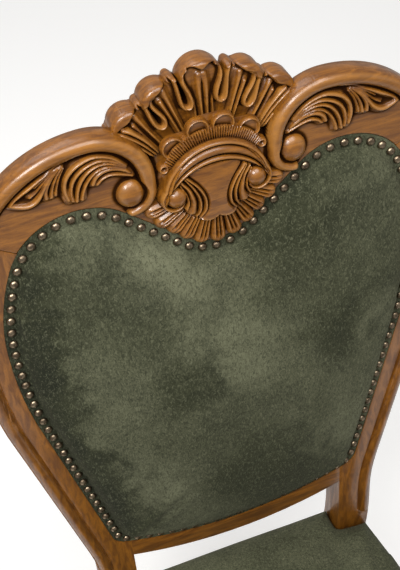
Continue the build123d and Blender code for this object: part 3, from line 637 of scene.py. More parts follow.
def addStudio():
    s = studio
    world = bpy.data.worlds.new("studioSurround")
    scene.world = world
    world.use_nodes = True
    tree = world.node_tree
    back = tree.nodes["Background"]
    back.inputs["Color"].default_value = s["tone"]
    rays = addNode(tree, "ShaderNodeLightPath")
    seen = addMath(tree, "MULTIPLY", rays.outputs["Is Camera Ray"], s["white"])
    shine = addMath(tree, "MULTIPLY", rays.outputs["Is Glossy Ray"], s["shine"])
    glow = addMath(tree, "ADD", addMath(tree, "MAXIMUM", seen, shine), s["ambient"])
    link(tree, glow, back.inputs["Strength"])
    bpy.ops.mesh.primitive_grid_add(x_subdivisions=8, y_subdivisions=8, size=s["floorSize"])
    floor = bpy.context.active_object
    floor.name = "studioFloor"
    material, tree, shader = newMaterial("paleFloor")
    setInputs(shader, {
        "Base Color": paint(s["floorTone"]), "Roughness": 0.9, "Specular IOR Level": 0.1,
        "Emission Color": (1, 1, 1, 1),
    })
    rays = addNode(tree, "ShaderNodeLightPath")
    glow = addMath(tree, "MULTIPLY", rays.outputs["Is Camera Ray"], s["floorGlow"])
    link(tree, glow, shader.inputs["Emission Strength"])
    floor.data.materials.append(material)
    for lamp in lamps:
        data = bpy.data.lights.new(lamp["name"], "AREA")
        data.energy = lamp["watts"]
        data.size = lamp["size"]
        light = bpy.data.objects.new(lamp["name"], data)
        light.location = lamp["place"]
        light.rotation_euler = (Vector(s["aim"]) - light.location).to_track_quat("-Z", "Y").to_euler()
        scene.collection.objects.link(light)


addStudio()
print("camera and studio placed")

# Crest rail: bead, volutes and leaf sprays on a plain ground
# bead: distance along it from the curl, with its half width or height there
crestSetup = {
    "step": 0.7, "sheet": (-230, 230, 5, 158), "depth": 36, "flatDepth": 13, "rearInset": 20, "ease": 1.2,
    "frontRebate": 7, "opening": 19, "rearRebate": 5, "rearOpening": 15, "padTouch": 0.6,
    "saddleDip": 11.5, "saddleFoot": 92, "saddleRun": 20, "saddleHalf": 60,
    "ball": (76, 86.4, 13, 14.4, 10.5), "beadHalves": [(0, 4.5), (26, 7.2)],
    "beadTops": [(0, 8.5), (30, 9.5), (110, 8.5), (190, 7.5), (300, 4.5)],
    "quirkInset": 15.2, "quirkHalf": 2.2, "quirk": 2.0, "base": 0.42, "baseHalf": 2.4,
}
# leaf strands: (u, v, half width, height) along each stem
longLeaf = [
    [(92, 135, 1.6, 4), (104, 140.2, 2.3, 6), (113, 141.2, 2.4, 6.5), (122, 139.8, 2.5, 6.5),
     (130, 137.2, 2.6, 6.5), (137.5, 134, 2.7, 6.5), (146, 129, 2.6, 6.2), (154, 124, 2.5, 6),
     (161, 119.7, 2.5, 6), (168, 116, 2.5, 5.5), (175, 111.5, 2.4, 5), (178.5, 107, 2.2, 4.5)],
    [(134, 132, 1.7, 5), (140.5, 126.3, 2.2, 6), (145.6, 120.4, 2.5, 6.5), (150, 113.8, 2.8, 6.8),
     (154.3, 108, 3.2, 7), (159, 104.3, 3.4, 7), (165, 102.8, 3.3, 6.5), (172, 104.2, 2.8, 5.5),
     (178.5, 107, 2.2, 4.5)],
    [(132, 134.5, 1.5, 5), (140, 129, 1.6, 5.4), (148, 121.5, 1.6, 5), (155, 114.5, 1.6, 4.6),
     (161.5, 110, 1.5, 4)],
    [(128, 136, 1.5, 5), (138, 131.6, 1.5, 5), (148, 124.5, 1.4, 4.6), (156, 118.5, 1.3, 4)],
]
fingers = [
    [(131, 133.5, 1.5, 5), (138.6, 126.5, 1.9, 6), (144, 119.7, 2.3, 6.5), (147.4, 112.2, 2.6, 6.5),
     (147.6, 106, 3, 6)],
    [(130, 132.5, 1.4, 5), (136.8, 124, 1.8, 6), (141.4, 114.8, 2.1, 6.3), (143.4, 106, 2.8, 6)],
    [(129.5, 130.5, 1.3, 4.5), (134.6, 122.5, 1.7, 5.5), (138, 113.5, 1.9, 5.8), (139.6, 107, 2.4, 5.4)],
]
hook = [
    [(76.5, 116, 1.7, 4), (86, 126.4, 2.2, 6), (95.2, 132.2, 2.5, 7), (104.8, 134.3, 2.7, 7.5),
     (114, 132.4, 2.8, 7.8), (122, 128.2, 2.9, 7.8), (128, 122, 3, 7.6), (131, 115, 3, 7.2),
     (131.6, 107, 2.8, 6.8), (129.6, 98, 2.4, 6)],
    [(77, 115, 1.5, 4), (86.4, 123.6, 2, 6), (95.7, 128.3, 2.3, 7), (104, 129, 2.4, 7.4),
     (112.6, 126, 2.5, 7.4), (120, 120.5, 2.6, 7.2), (124.6, 113.6, 2.6, 6.8), (126.6, 105, 2.4, 6.4),
     (126, 96, 2.2, 5.8)],
    [(77, 114, 1.4, 4), (85.5, 120.6, 1.9, 6), (94.6, 124.8, 2.1, 7), (103, 124.6, 2.2, 7.2),
     (111, 120.4, 2.3, 7.2), (117, 113.5, 2.4, 7), (120.8, 105, 2.4, 6.6), (122.8, 95, 2.6, 6)],
    [(77, 113, 1.3, 4), (85, 118, 1.7, 6), (93.6, 121.2, 1.9, 7), (101.5, 120.2, 2, 7), (108, 115.6, 2, 6.8),
     (113.2, 108.8, 2.1, 6.4), (116.6, 101, 2.3, 6), (118, 95, 2.6, 5.5)],
]
curl = [
    [(74, 108, 1.7, 4), (78, 112, 2.3, 5.5), (85, 116.4, 2.8, 6.5), (93, 118.2, 3.1, 7),
     (100, 116.6, 3.3, 7.2), (105, 112.5, 3.3, 7), (107, 107.5, 3.1, 6.5)],
    [(72, 104, 1.5, 3.5), (79, 108, 1.9, 5), (86, 111, 2.1, 5.8), (93, 112, 2.2, 6), (99, 110, 2.2, 6),
     (103.5, 106, 2.3, 5.6)],
]
leafLobe = (128.6, 102.5, 6.2, 11.8, 4.4)


def beadPath(inset):
    c = crestEdge
    moves = [
        (c["volute"] + c["beadInset"] - inset, 90), (c["voluteDrop"], 0),
        (c["curl"] + inset - c["beadInset"], c["curlTurn"]),
    ]
    turned = traceLine((c["archOffset"], c["archTop"] - inset), 180, moves)[0]
    return np.vstack([turned[::-1], crestCurve(inset)[1:]])


def raiseLeaf(relief, sideU, gridV, strands):
    s = crestSetup
    for strand in strands:    # a low body first, so neighbouring strands meet above the ground
        body = [(u, v, half + s["baseHalf"], height * s["base"]) for u, v, half, height in strand]
        ridge(relief, sideU, gridV, body, roundness=0.7)
    for strand in strands:
        ridge(relief, sideU, gridV, strand, roundness=0.75)


def carveCrest(sideU, gridV):
    s, c = crestSetup, crestEdge
    toShell = np.clip((gridV - s["saddleFoot"]) / s["saddleRun"], 0, 1) * (sideU < s["saddleHalf"])
    relief = -s["saddleDip"] * toShell    # the ground falls away to the shell
    for strands in (longLeaf, fingers, curl, hook):
        raiseLeaf(relief, sideU, gridV, strands)
    u, v, halfU, halfV, rise = leafLobe
    dome(relief, sideU, gridV, u, v, halfU, halfV, 0, rise)
    line = beadPath(s["quirkInset"])
    quirkLine = np.column_stack([line, np.full(len(line), s["quirkHalf"]), np.full(len(line), s["quirk"])])
    groove(relief, sideU, gridV, quirkLine, perSpan=1)
    line = beadPath(c["beadInset"])
    gone = np.insert(np.cumsum(np.hypot(*np.diff(line, axis=0).T)), 0, 0)
    half, top = (np.interp(gone, *zip(*s[key])) for key in ("beadHalves", "beadTops"))
    ridge(relief, sideU, gridV, np.column_stack([line, half, top]), perSpan=1)
    u, v, halfU, halfV, rise = s["ball"]
    crevice = [
        (u + 2, v + halfV, 1.4, 3), (u - halfU * 0.8, v + 8, 1.8, 4), (u - halfU - 0.4, v - 1, 1.8, 4),
        (u - halfU * 0.7, v - 9.5, 1.6, 3.5), (u - 3, v - 12.5, 1.2, 2),
    ]
    groove(relief, sideU, gridV, crevice)
    dome(relief, sideU, gridV, u, v, halfU, halfV, 0, rise)
    return relief


def crestOutline():
    c = crestEdge
    radius = c["volute"] + c["beadInset"]
    turn = math.degrees(math.acos(1 - (c["archTop"] - c["saddle"]) / radius))
    saddleSide = traceLine((c["archOffset"], c["archTop"]), 180, [(radius, turn)])[0]
    half = np.vstack([saddleSide[::-1], crestCurve(0)[1:]])
    return np.vstack([half, half[::-1] * [-1, 1]])


def makeCrest():
    s, c = crestSetup, crestEdge
    gridU, gridV = makeSheet(*s["sheet"], s["step"])
    sideU = np.abs(gridU)
    relief = carveCrest(sideU, gridV)
    outline = loopField(gridU, gridV, crestOutline())
    padField = loopField(gridU, gridV, nailLineLoop(c["padEdge"]))
    slope = math.radians(c["jointSlope"])
    above = (gridV - c["jointV"]) * math.cos(slope) - (sideU - c["jointU"]) * math.sin(slope)
    field = np.maximum(np.maximum(outline, -padField), -above)
    outlineSlope, padSlope = np.gradient(outline, s["step"]), np.gradient(padField, s["step"])

    def onSheet(grid, u, v):
        return sampled(grid, (v - gridV[0, 0]) / s["step"], (u - gridU[0, 0]) / s["step"])

    def byPad(u, v):
        return np.abs(onSheet(padField, u, v)) < s["padTouch"]

    def crestRing(padStep, padDepth, depth):    # rebates toward the pad, a bevel round the outside
        bevel = s["rearInset"] * max(depth - s["flatDepth"], 0) / (s["depth"] - s["flatDepth"])

        def shift(u, v):
            gone = np.clip(bevel + onSheet(outline, u, v), 0, bevel)
            out = np.where(byPad(u, v), padStep, 0)
            moves = [gone * onSheet(a, u, v) + out * onSheet(b, u, v) for a, b in zip(outlineSlope, padSlope)]
            return -np.column_stack(moves[::-1])

        return shift, lambda u, v: -np.where(byPad(u, v), padDepth, depth)

    rearDepth = s["depth"] - s["rearRebate"]
    rings = [
        crestRing(0, s["frontRebate"], s["flatDepth"]),
        crestRing(s["opening"], s["frontRebate"], s["flatDepth"] + 1),
        crestRing(s["opening"], rearDepth, rearDepth),
        crestRing(s["rearOpening"], rearDepth, rearDepth + 1),
        crestRing(s["rearOpening"], s["depth"], s["depth"]),
    ]
    piece = carvedPiece("crestRail", gridU, gridV, field, relief, s["ease"], rings)
    finishPiece(piece, woodAcross, ["crest_rail"])


makeCrest()

# Shell: buns run back from a wavy lip, and one rolled rim loops down into the slots between them
shellSetup = {
    "step": 0.55, "sheet": (-92, 92, 100, 202), "ground": -11.5, "lipTop": -3.6, "lipRoll": 3.2,
    "lipReach": 40, "depth": 28, "flatDepth": 24, "rearInset": 1, "ease": 5, "rimHalf": 2.1, "hole": 14,
    "floor": 112, "foldFoot": 2, "foldDrop": 2.5, "fluteFoot": 2.5, "fluteBase": -9,
}
# right side, root and top of each bun and of each small bump between them: (u, v, half width)
buns = [
    [(0, 118, 14), (0, 169.5, 20.5)], [(20, 118, 14), (38.5, 160.5, 16.5)], [(40, 112, 14), (66, 143.5, 17)],
    [(14, 118, 8), (26.2, 175.5, 4.6)], [(36, 118, 8), (55, 159, 4.6)],
]
lips = [
    [(-25, 175), (-20, 176), (-17.2, 180.2), (-12, 184.6), (-6.5, 185.2), (0, 181.4), (6.5, 185.2),
     (12, 184.6), (17.2, 180.2), (20, 176), (25, 175)],
    [(25.5, 172), (28, 175.4), (31, 176.2), (34.5, 173.6), (38.6, 169.6), (45.4, 165.6), (47.6, 161),
     (53, 157)],
    [(53.5, 155), (56, 158.6), (59, 158.8), (62.5, 155), (66.5, 149.8), (73.5, 146), (80, 141), (88, 135)],
]
# rim of each slot: (u, v, height on the back plane), from the outer arm round to the lip
slotRims = [
    [(27.5, 181, -7), (24.8, 178, -5.5), (22.8, 172, -5), (21.8, 166, -4.6), (20.8, 159.5, -4),
     (19.6, 153.4, -3.2), (17.6, 150, -2.8), (14.8, 149, -2.6), (12, 150.4, -2.6), (11, 153.4, -2.8),
     (11.2, 157, -3), (12.9, 163, -3.6), (15.5, 169, -4.2), (17.2, 175, -4.8), (16.7, 180.7, -5),
     (13.6, 184, -4.6)],
    [(57, 164, -7), (52.4, 161, -5.5), (50, 155.6, -5), (47.9, 149, -4.6), (45.2, 142, -3.8),
     (42.2, 138, -3.2), (38.9, 136.8, -3), (36.2, 138.2, -3), (35.4, 141, -3.2), (36.2, 144.6, -3.4),
     (39.6, 150, -4), (43.2, 154.8, -4.4), (46, 160.2, -4.8), (46.4, 165.4, -5), (43.6, 168.2, -4.6)],
]
slotHoles = [
    [(15.1, 153.4, 2.2), (15.5, 157, 2.9), (17, 163, 2.3), (18.9, 169, 1.4), (20.2, 175, 0.8)],
    [(39, 141, 2.2), (40.4, 144.6, 2.8), (43.6, 150, 2.2), (46.6, 155.4, 1.4), (48.8, 160.4, 0.8)],
]
# folds on the faces: (u, v, half width, height on the back plane)
faceFolds = [
    [(1.8, 126, 1.4, -5), (2.6, 146, 2, -6), (3.2, 166, 3.2, -6.5), (2, 176, 4, -7.5)],
    [(7.4, 126, 1.2, -6), (7.8, 140, 1.4, -7.5), (8.4, 154, 1.6, -9)],
    [(19.5, 126, 1.3, -5), (26.5, 146, 1.9, -6), (32.4, 163, 2.8, -6.5), (34.6, 169, 3.4, -7.5)],
    [(23, 124.5, 1.3, -5), (31, 144.5, 1.8, -6), (37.6, 160, 2.6, -6.8)],
    [(39, 118, 1.3, -5), (49.4, 134, 1.8, -6), (58.6, 149, 2.8, -6.5), (61.4, 153, 3.4, -7.5)],
    [(43, 115.5, 1.3, -5), (53.4, 131, 1.7, -6), (63, 144, 2.6, -6.8)],
]
sideFlutes = [
    [(46, 117, 1.3, 8), (56, 131, 2, 8.5), (67, 142, 2.6, 8.5), (73, 145, 2.8, 7)],
    [(47.5, 114.5, 1.2, 8), (59, 128.5, 1.9, 8.5), (71.5, 139.5, 2.4, 8.5), (79, 142.5, 2.6, 7)],
    [(49, 112, 1.2, 8), (61.5, 125.5, 1.8, 8.2), (75, 136.5, 2.2, 8), (82, 138.5, 2.4, 7)],
]


def makeShell():
    s = shellSetup
    gridU, gridV = makeSheet(*s["sheet"], s["step"])
    sideU = np.abs(gridU)
    field = clearField(gridU)
    for bun in buns + [[(u, v, half + s["fluteFoot"]) for u, v, half, top in flute] for flute in sideFlutes]:
        field = np.minimum(field, strokeField(sideU, gridV, [(*spot, 1) for spot in bun], 12))
    field = np.maximum(field, s["floor"] - gridV)
    ground = s["ground"]
    relief = np.full(gridU.shape, float(ground))
    # wide feet first, then the folds themselves
    for foot, drop, roundness in ((s["foldFoot"], s["foldDrop"], 1), (0, 0, 0.7)):
        for fold in faceFolds:
            stroke = [(u, v, half + foot, w - drop - ground) for u, v, half, w in fold]
            ridge(relief, sideU, gridV, stroke, ground, roundness)
    for edge in lips:
        line = smoothLine(edge, 8)
        paired = line[:, 0].min() > 0    # the middle lip crosses to the other side
        outside = line[::-1] + s["lipReach"] * np.array([0.5 if paired else 0, 1])
        within = -loopField(sideU if paired else gridU, gridV, np.vstack([line, outside]))
        roll = np.sqrt(np.clip(1 - (1 - np.clip(within / s["lipRoll"], 0, 1)) ** 2, 0, 1))
        lip = ground + (s["lipTop"] - ground) * roll
        relief = np.where(within > 0, np.maximum(relief, lip), relief)
    for flute in sideFlutes:
        ridge(relief, sideU, gridV, flute, s["fluteBase"])
    for hole in slotHoles:
        groove(relief, sideU, gridV, [(u, v, half, s["hole"]) for u, v, half in hole])
    for rim in slotRims:
        ridge(relief, sideU, gridV, [(u, v, s["rimHalf"], w - ground) for u, v, w in rim], ground, 0.6)
    rings = [(0, -s["flatDepth"]), (s["rearInset"], -s["depth"])]
    piece = carvedPiece("shellCarving", gridU, gridV, field, relief, s["ease"], rings, hollowSpan=4)
    finishPiece(piece, woodAcross, ["crest_carving"])


makeShell()

# Cartouche: scroll band with eyes, shield, crescent leaves, comb, scallops and the gadroon skirt
# skirtFlutes: place across the lobe, height and width of each bead or cut
cartoucheSetup = {
    "step": 0.45, "sheet": (-78, 78, 6, 150), "ground": 0.3, "ease": 1.0, "centre": 72, "radius": 50,
    "innerTop": 99.5, "innerRadius": 55.9, "eye": (37.7, 73.5), "eyeBall": 9.8, "eyeDisc": 15.5,
    "eyeCut": 12.6, "skirtOrigin": 78, "skirtPitch": 14.8, "skirtReach": (71, 69.5, 66, 64.5, 67, 69),
    "skirtTip": 8.4, "skirtRoot": 22, "skirtRootHalf": 4, "skirtStart": 20, "skirtRise": 8, "notch": 2.4,
    "skirtFlutes": [
        (-0.5, 0.9, 0.13), (0.5, 0.9, 0.13), (-0.22, -2.6, 0.12), (0.22, -2.6, 0.12), (0, 0.8, 0.1),
    ],
    "ribs": 44, "combSpan": 52, "combLow": 49, "combHigh": 60.5, "scallop": 10.8, "combCurl": 5,
}
crescents = [
    [(27, 91, 1.7, 13), (17.5, 79.5, 2.2, 14.4), (12, 67, 2.4, 14.8), (12.2, 55, 2.4, 14.4),
     (17, 46, 2.2, 11.5)],
    [(28.5, 90, 1.5, 12.5), (21.6, 79, 2.0, 13.8), (17, 67, 2.2, 14.2), (17, 55.5, 2.2, 13.8),
     (20.5, 47.5, 2, 11)],
    [(32, 87, 1.8, 11.5), (25.6, 77, 3.4, 13), (22.8, 65, 4.6, 14), (24.6, 55.5, 6.4, 14.4)],
    [(33, 84, 1.3, 12.5), (28.6, 74.5, 1.7, 14.4), (27.6, 66.5, 1.7, 14.6), (30, 60, 2, 14.4)],
]
eyeRim = [
    (47.6, 82, 2.4, 13.8), (50.2, 76, 2.5, 13.8), (49.6, 69, 2.6, 13.6), (45.6, 63.2, 2.7, 13.2),
    (39.5, 60.8, 2.7, 12.8), (34, 62.5, 2.6, 12.4), (31, 66.5, 2.2, 12),
]
scallops = [(11.6, 133), (34.8, 121.5)]


def fanPoint(origin, degrees, distance):
    angle = math.radians(degrees)
    return distance * math.sin(angle), origin + distance * math.cos(angle)


def makeSkirt(gridU, gridV, relief, field):
    s = cartoucheSetup
    root, start, last = s["skirtRoot"], s["skirtStart"], len(s["skirtReach"]) - 1
    for i in sorted(range(-last, last + 1), key=abs, reverse=True):    # the middle lobe lies on top
        degrees = 180 - i * s["skirtPitch"]
        reach = s["skirtReach"][abs(i)]
        shoulder = reach - s["skirtTip"]
        sine, cosine = math.sin(math.radians(degrees)), math.cos(math.radians(degrees))
        along = gridU * sine + (gridV - s["skirtOrigin"]) * cosine
        across = gridU * cosine - (gridV - s["skirtOrigin"]) * sine
        ends = ((root, s["skirtRootHalf"]), (shoulder, s["skirtTip"]))
        stem = [(*fanPoint(s["skirtOrigin"], degrees, distance), half, 1) for distance, half in ends]
        field[:] = np.minimum(field, strokeField(gridU, gridV, stem, 14))
        x = across / np.interp(along, *zip(*ends))
        edge = np.hypot(np.maximum(along - shoulder, 0) / s["skirtTip"], np.abs(x))
        body = s["skirtRise"] * np.clip(1 - edge**2, 0, 1) ** 0.42
        fade = np.clip((reach - 3 - along) / 7, 0, 1)
        for spot, size, wide in s["skirtFlutes"]:
            body += size * fade * np.exp(-(((x - spot) / wide) ** 2))
        relief[:] = np.where((edge < 1) & (along > start), np.maximum(relief, body), relief)
        notch = np.exp(-(((np.abs(x) - 1) / 0.1) ** 2)) * np.clip((along - 26) / 20, 0, 1)
        relief[:] -= np.where((along > start) & (along < reach + 1), s["notch"] * notch, 0)


def makeComb(gridU, gridV, relief, field):
    s = cartoucheSetup
    sideU = np.abs(gridU)
    for u, v in scallops:
        away = np.hypot(sideU - u, gridV - v)
        field[:] = np.minimum(field, away - s["scallop"])
        bowl = 3.2 + 0.014 * away**2 + 2.6 * np.exp(-((away - s["scallop"] + 1.6) ** 2))
        relief[:] = np.where(away < s["scallop"], bowl, relief)
    out = np.hypot(gridU, gridV - s["centre"])
    bearing = np.degrees(np.arctan2(gridU, gridV - s["centre"]))
    outer = s["combHigh"] - 2.5 * (bearing / s["combSpan"]) ** 4
    comb = np.abs(out - (s["combLow"] + outer) / 2) - (outer - s["combLow"]) / 2
    comb = np.maximum(comb, (np.abs(bearing) - s["combSpan"]) * 0.9)
    field[:] = np.minimum(field, comb)
    wave = np.abs(np.cos(np.pi * bearing * s["ribs"] / (2 * s["combSpan"])))
    ribs = 5.6 + 2.6 * wave**0.8 - 0.16 * np.clip(out - 54, 0, 8)
    relief[:] = np.where(comb < 0, np.maximum(relief, ribs), relief)
    curlU, curlV = fanPoint(s["centre"], s["combSpan"] + 2.5, 55.5)
    away = np.hypot(sideU - curlU, gridV - curlV)
    field[:] = np.minimum(field, away - s["combCurl"])
    roll = 5.5 + 3 * np.exp(-(((away - 3.4) / 1.1) ** 2))
    relief[:] = np.where(away < s["combCurl"], np.maximum(relief, roll), relief)


def carveShield(gridU, gridV, relief, field):    # fuller in the middle, with a two-lobed lower edge
    s = cartoucheSetup
    sideU = np.abs(gridU)
    disc = np.hypot(gridU, gridV - s["centre"]) - s["radius"]
    lobes = np.hypot(sideU - 9, (gridV - 54) / 1.1) - 12.6
    waist = np.maximum(sideU - 26, np.abs(gridV - s["centre"]) - 22)
    upper = np.maximum(disc, s["centre"] + 2 - gridV)
    plate = np.minimum(np.minimum(lobes, waist), upper)
    field[:] = np.minimum(field, plate)
    bulge = 8 + 5.5 * np.sqrt(np.clip(1 - (gridU / 30) ** 2 - ((gridV - 68) / 42) ** 2, 0, 1))
    relief[:] = np.where(plate < 0, np.maximum(relief, bulge), relief)


def carveBand(gridU, gridV, relief):    # thin outer bead, groove, wide ridge, valley and thin inner ridge
    s = cartoucheSetup
    inner = np.hypot(gridU, gridV - (s["innerTop"] - s["innerRadius"])) - s["innerRadius"]
    fromRim = s["radius"] - np.hypot(gridU, gridV - s["centre"])
    share = fromRim / np.maximum(fromRim + inner, 0.1)
    band = (inner > 0) & (fromRim > 0) & (gridV > s["eye"][1] - 2)

    def roll(value, middle, half):
        return np.sqrt(np.clip(1 - ((value - middle) / half) ** 2, 0, 1))

    profile = np.where(fromRim > 4.6, 8.4, 8.2 + 5.6 * roll(fromRim, 2.4, 2.5))
    profile += 6.2 * roll(share, 0.44, 0.2) * (fromRim > 4)
    profile = np.maximum(profile, 10 * (share > 0.6)) + 4.2 * roll(share, 0.79, 0.105)
    relief[:] = np.where(band, profile, relief)


def makeCartouche():
    s = cartoucheSetup
    gridU, gridV = makeSheet(*s["sheet"], s["step"])
    sideU = np.abs(gridU)
    relief = np.full(gridU.shape, s["ground"])
    field = clearField(gridU)
    makeSkirt(gridU, gridV, relief, field)
    makeComb(gridU, gridV, relief, field)
    carveShield(gridU, gridV, relief, field)
    eyeU, eyeV = s["eye"]
    away = np.hypot(sideU - eyeU, gridV - eyeV)    # rolls that carry the eyes
    field = np.minimum(field, away - s["eyeDisc"])
    roll = 3 + 6 * np.sqrt(np.clip(1 - (away / (s["eyeDisc"] + 0.5)) ** 2, 0, 1))
    relief = np.where(away < s["eyeDisc"], np.maximum(relief, roll), relief)
    for stroke in crescents:
        groove(relief, sideU, gridV, [(u, v, half + 1.7, 2.8) for u, v, half, height in stroke])
    for stroke in crescents:
        ridge(relief, sideU, gridV, stroke, roundness=0.6)
    carveBand(gridU, gridV, relief)
    groove(relief, sideU, gridV, [(u, eyeV, s["eyeCut"], 4.5) for u in (eyeU, eyeU + 0.01)])
    ridge(relief, sideU, gridV, eyeRim, roundness=0.6)
    rimEdge = [(u, v, half + 0.6, 1) for u, v, half, height in eyeRim]
    field = np.minimum(field, strokeField(sideU, gridV, rimEdge))
    dome(relief, sideU, gridV, eyeU, eyeV, s["eyeBall"], s["eyeBall"] + 0.4, 7, 10)
    piece = carvedPiece("cartoucheCarving", gridU, gridV, field, relief, s["ease"], [(0, 0)])
    finishPiece(piece, woodAcross, ["crest_carving"])


makeCartouche()

# Frame members carried over from the construction, with eased edges
easedWood = {
    "right_stile": (woodUpright, 1.4), "left_stile": (woodUpright, 1.4), "back_lower_rail": (woodAcross, 1.2),
    "front_seat_rail": (woodAcross, 1.2), "rear_seat_rail": (woodAcross, 1.2),
    "right_seat_rail": (woodAlong, 1.2), "left_seat_rail": (woodAlong, 1.2),
    "front_right_leg": (woodUpright, 1.2), "front_left_leg": (woodUpright, 1.2),
}


def easedCopy(node, material, width):
    name = "".join(word.capitalize() if i else word for i, word in enumerate(node.split("_")))
    piece = bpy.data.objects.new(name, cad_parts[node].data.copy())
    scene.collection.objects.link(piece)
    pickOnly(piece)
    bpy.ops.object.mode_set(mode="EDIT")
    bpy.ops.mesh.select_all(action="SELECT")
    bpy.ops.mesh.remove_doubles(threshold=1e-5)
    bpy.ops.mesh.customdata_custom_splitnormals_clear()
    bpy.ops.mesh.dissolve_limited(angle_limit=math.radians(1.5))
    bpy.ops.mesh.select_all(action="DESELECT")
    bpy.ops.mesh.edges_select_sharp(sharpness=math.radians(35))
    bpy.ops.mesh.bevel(offset=width / 1000, segments=2, profile=0.6, clamp_overlap=True)
    bpy.ops.object.mode_set(mode="OBJECT")
    smoothByAngle(piece, 40)
    finishPiece(piece, material, [node])


for node, (material, width) in easedWood.items():
    easedCopy(node, material, width)
print("frame members eased")

# Nail heads: one low dome copied to each place in the construction
nailSetup = {"radius": 4.5, "rise": 3.4, "sides": 12, "rings": 8}


def nailPlaces(node):
    shape = bmesh.new()
    shape.from_mesh(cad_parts[node].data)
    bmesh.ops.remove_doubles(shape, verts=shape.verts, dist=1e-5)
    left = set(shape.faces)
    places = []
    while left:
        island, todo = [], [left.pop()]
        while todo:
            face = todo.pop()
            island.append(face)
            for edge in face.edges:
                for other in edge.link_faces:
                    if other in left:
                        left.remove(other)
                        todo.append(other)
        sides = {}
        for face in island:    # the seat of a nail head is its largest flat side
            key = tuple(round(x, 2) for x in face.normal)
            sides.setdefault(key, []).append(face)
        seat = max(sides.values(), key=lambda group: sum(face.calc_area() for face in group))
        spots = {v for face in seat for v in face.verts}
        middle = sum((v.co for v in spots), Vector()) / len(spots)
        places.append((middle, -seat[0].normal.copy()))
    shape.free()
    return places


def makeNails(name, node):
    s = nailSetup
    radius = s["radius"] / 1000
    bpy.ops.mesh.primitive_uv_sphere_add(segments=s["sides"], ring_count=s["rings"], radius=radius)
    domePiece = bpy.context.active_object
    bpy.ops.object.mode_set(mode="EDIT")
    bpy.ops.mesh.select_all(action="SELECT")
    bpy.ops.mesh.bisect(
        plane_co=(0, 0, -1e-5), plane_no=(0, 0, 1), clear_inner=True, use_fill=True, threshold=1e-6
    )
    bpy.ops.mesh.select_all(action="SELECT")
    bpy.ops.transform.resize(value=(1, 1, s["rise"] / s["radius"]))
    bpy.ops.object.mode_set(mode="OBJECT")
    domePoints = np.array([v.co for v in domePiece.data.vertices])
    domeFaces = [list(f.vertices) for f in domePiece.data.polygons]
    points, faces = [], []
    places = nailPlaces(node)
    for middle, outward in places:
        turn = np.array(outward.to_track_quat("Z", "Y").to_matrix())
        start = len(points) * len(domePoints)
        points.append(domePoints @ turn.T + np.array(middle))
        faces += [[start + i for i in face] for face in domeFaces]
    bpy.data.objects.remove(domePiece)
    mesh = bpy.data.meshes.new(name)
    mesh.from_pydata(np.vstack(points).tolist(), [], faces)
    piece = bpy.data.objects.new(name, mesh)
    scene.collection.objects.link(piece)
    smoothByAngle(piece, 50)
    finishPiece(piece, nailBrass, [node])
    return np.array([middle for middle, outward in places])


backNails = makeNails("backNails", "back_nailheads")
seatNails = makeNails("seatNails", "seat_nailheads")
print("nails placed:", len(backNails), len(seatNails))


# Pads: crowned forms held at the nails and swelled by cloth pressure

def meshPoints(piece):
    points = np.empty(len(piece.data.vertices) * 3)
    piece.data.vertices.foreach_get("co", points)
    return points.reshape(-1, 3)


def setPoints(piece, points):
    piece.data.vertices.foreach_set("co", points.ravel())
    piece.data.update()


def swell(piece, held, settings):
    start = meshPoints(piece)
    group = piece.vertex_groups.new(name="held")
    group.add([int(i) for i in np.nonzero(held)[0]], 1.0, "REPLACE")
    cloth = piece.modifiers.new("swell", "CLOTH")
    cloth.settings.quality = 6
    cloth.settings.mass = 0.3
    cloth.settings.use_pressure = True
    cloth.settings.uniform_pressure_force = settings["pressure"]
    cloth.settings.vertex_group_mass = "held"
    cloth.settings.effector_weights.gravity = 0
    cloth.point_cache.frame_start, cloth.point_cache.frame_end = 1, settings["frames"]
    for number in range(1, settings["frames"] + 1):
        scene.frame_set(number)
    swelled = piece.evaluated_get(bpy.context.evaluated_depsgraph_get())
    shape = swelled.to_mesh()
    end = np.empty(len(shape.vertices) * 3)
    shape.vertices.foreach_get("co", end)
    swelled.to_mesh_clear()
    piece.modifiers.remove(cloth)
    piece.vertex_groups.clear()
    move = end.reshape(-1, 3) - start
    length = np.linalg.norm(move, axis=1, keepdims=True)
    print(piece.name, "swelled by up to", round(1000 * float(length.max()), 1), "mm")
    setPoints(piece, start + move * np.minimum(1, settings["cap"] / 1000 / np.maximum(length, 1e-9)))
    scene.frame_set(1)


def subdivide(piece):
    pickOnly(piece)
    bpy.ops.object.mode_set(mode="EDIT")
    bpy.ops.mesh.select_all(action="DESELECT")
    bpy.ops.mesh.edges_select_sharp(sharpness=math.radians(50))
    bpy.ops.transform.edge_crease(value=1)    # borders keep their line
    bpy.ops.object.mode_set(mode="OBJECT")
    finer = piece.modifiers.new("finer", "SUBSURF")
    finer.levels = finer.render_levels = 1
    bpy.ops.object.modifier_apply(modifier="finer")


def dimple(piece, nails, outward, depth, reach):
    points = meshPoints(piece)
    nearest = np.full(len(points), 1e9)
    for nail in nails:
        nearest = np.minimum(nearest, np.linalg.norm(points - nail, axis=1))
    points -= outward * (depth / 1000 * np.exp(-((nearest * 1000 / reach) ** 2)))[:, None]
    setPoints(piece, points)


def finishPad(piece, held, settings, nodes):
    swell(piece, held, settings)
    subdivide(piece)
    smoothByAngle(piece, 60)
    finishPiece(piece, suede, nodes)


backPadSetup = {
    "step": 4.0, "sheet": (-224, 224, -428, 92), "edge": 6.75, "border": -0.6, "under": -2.0, "foot": 7.5,
    "wall": 8.2, "crownTop": 33, "flat": 2500, "lowest": 10, "soften": 4, "ease": 0.3, "dimple": 0.6,
    "dimpleReach": 5, "pressure": 4, "frames": 20, "cap": 5, "fill": 0.8,
}


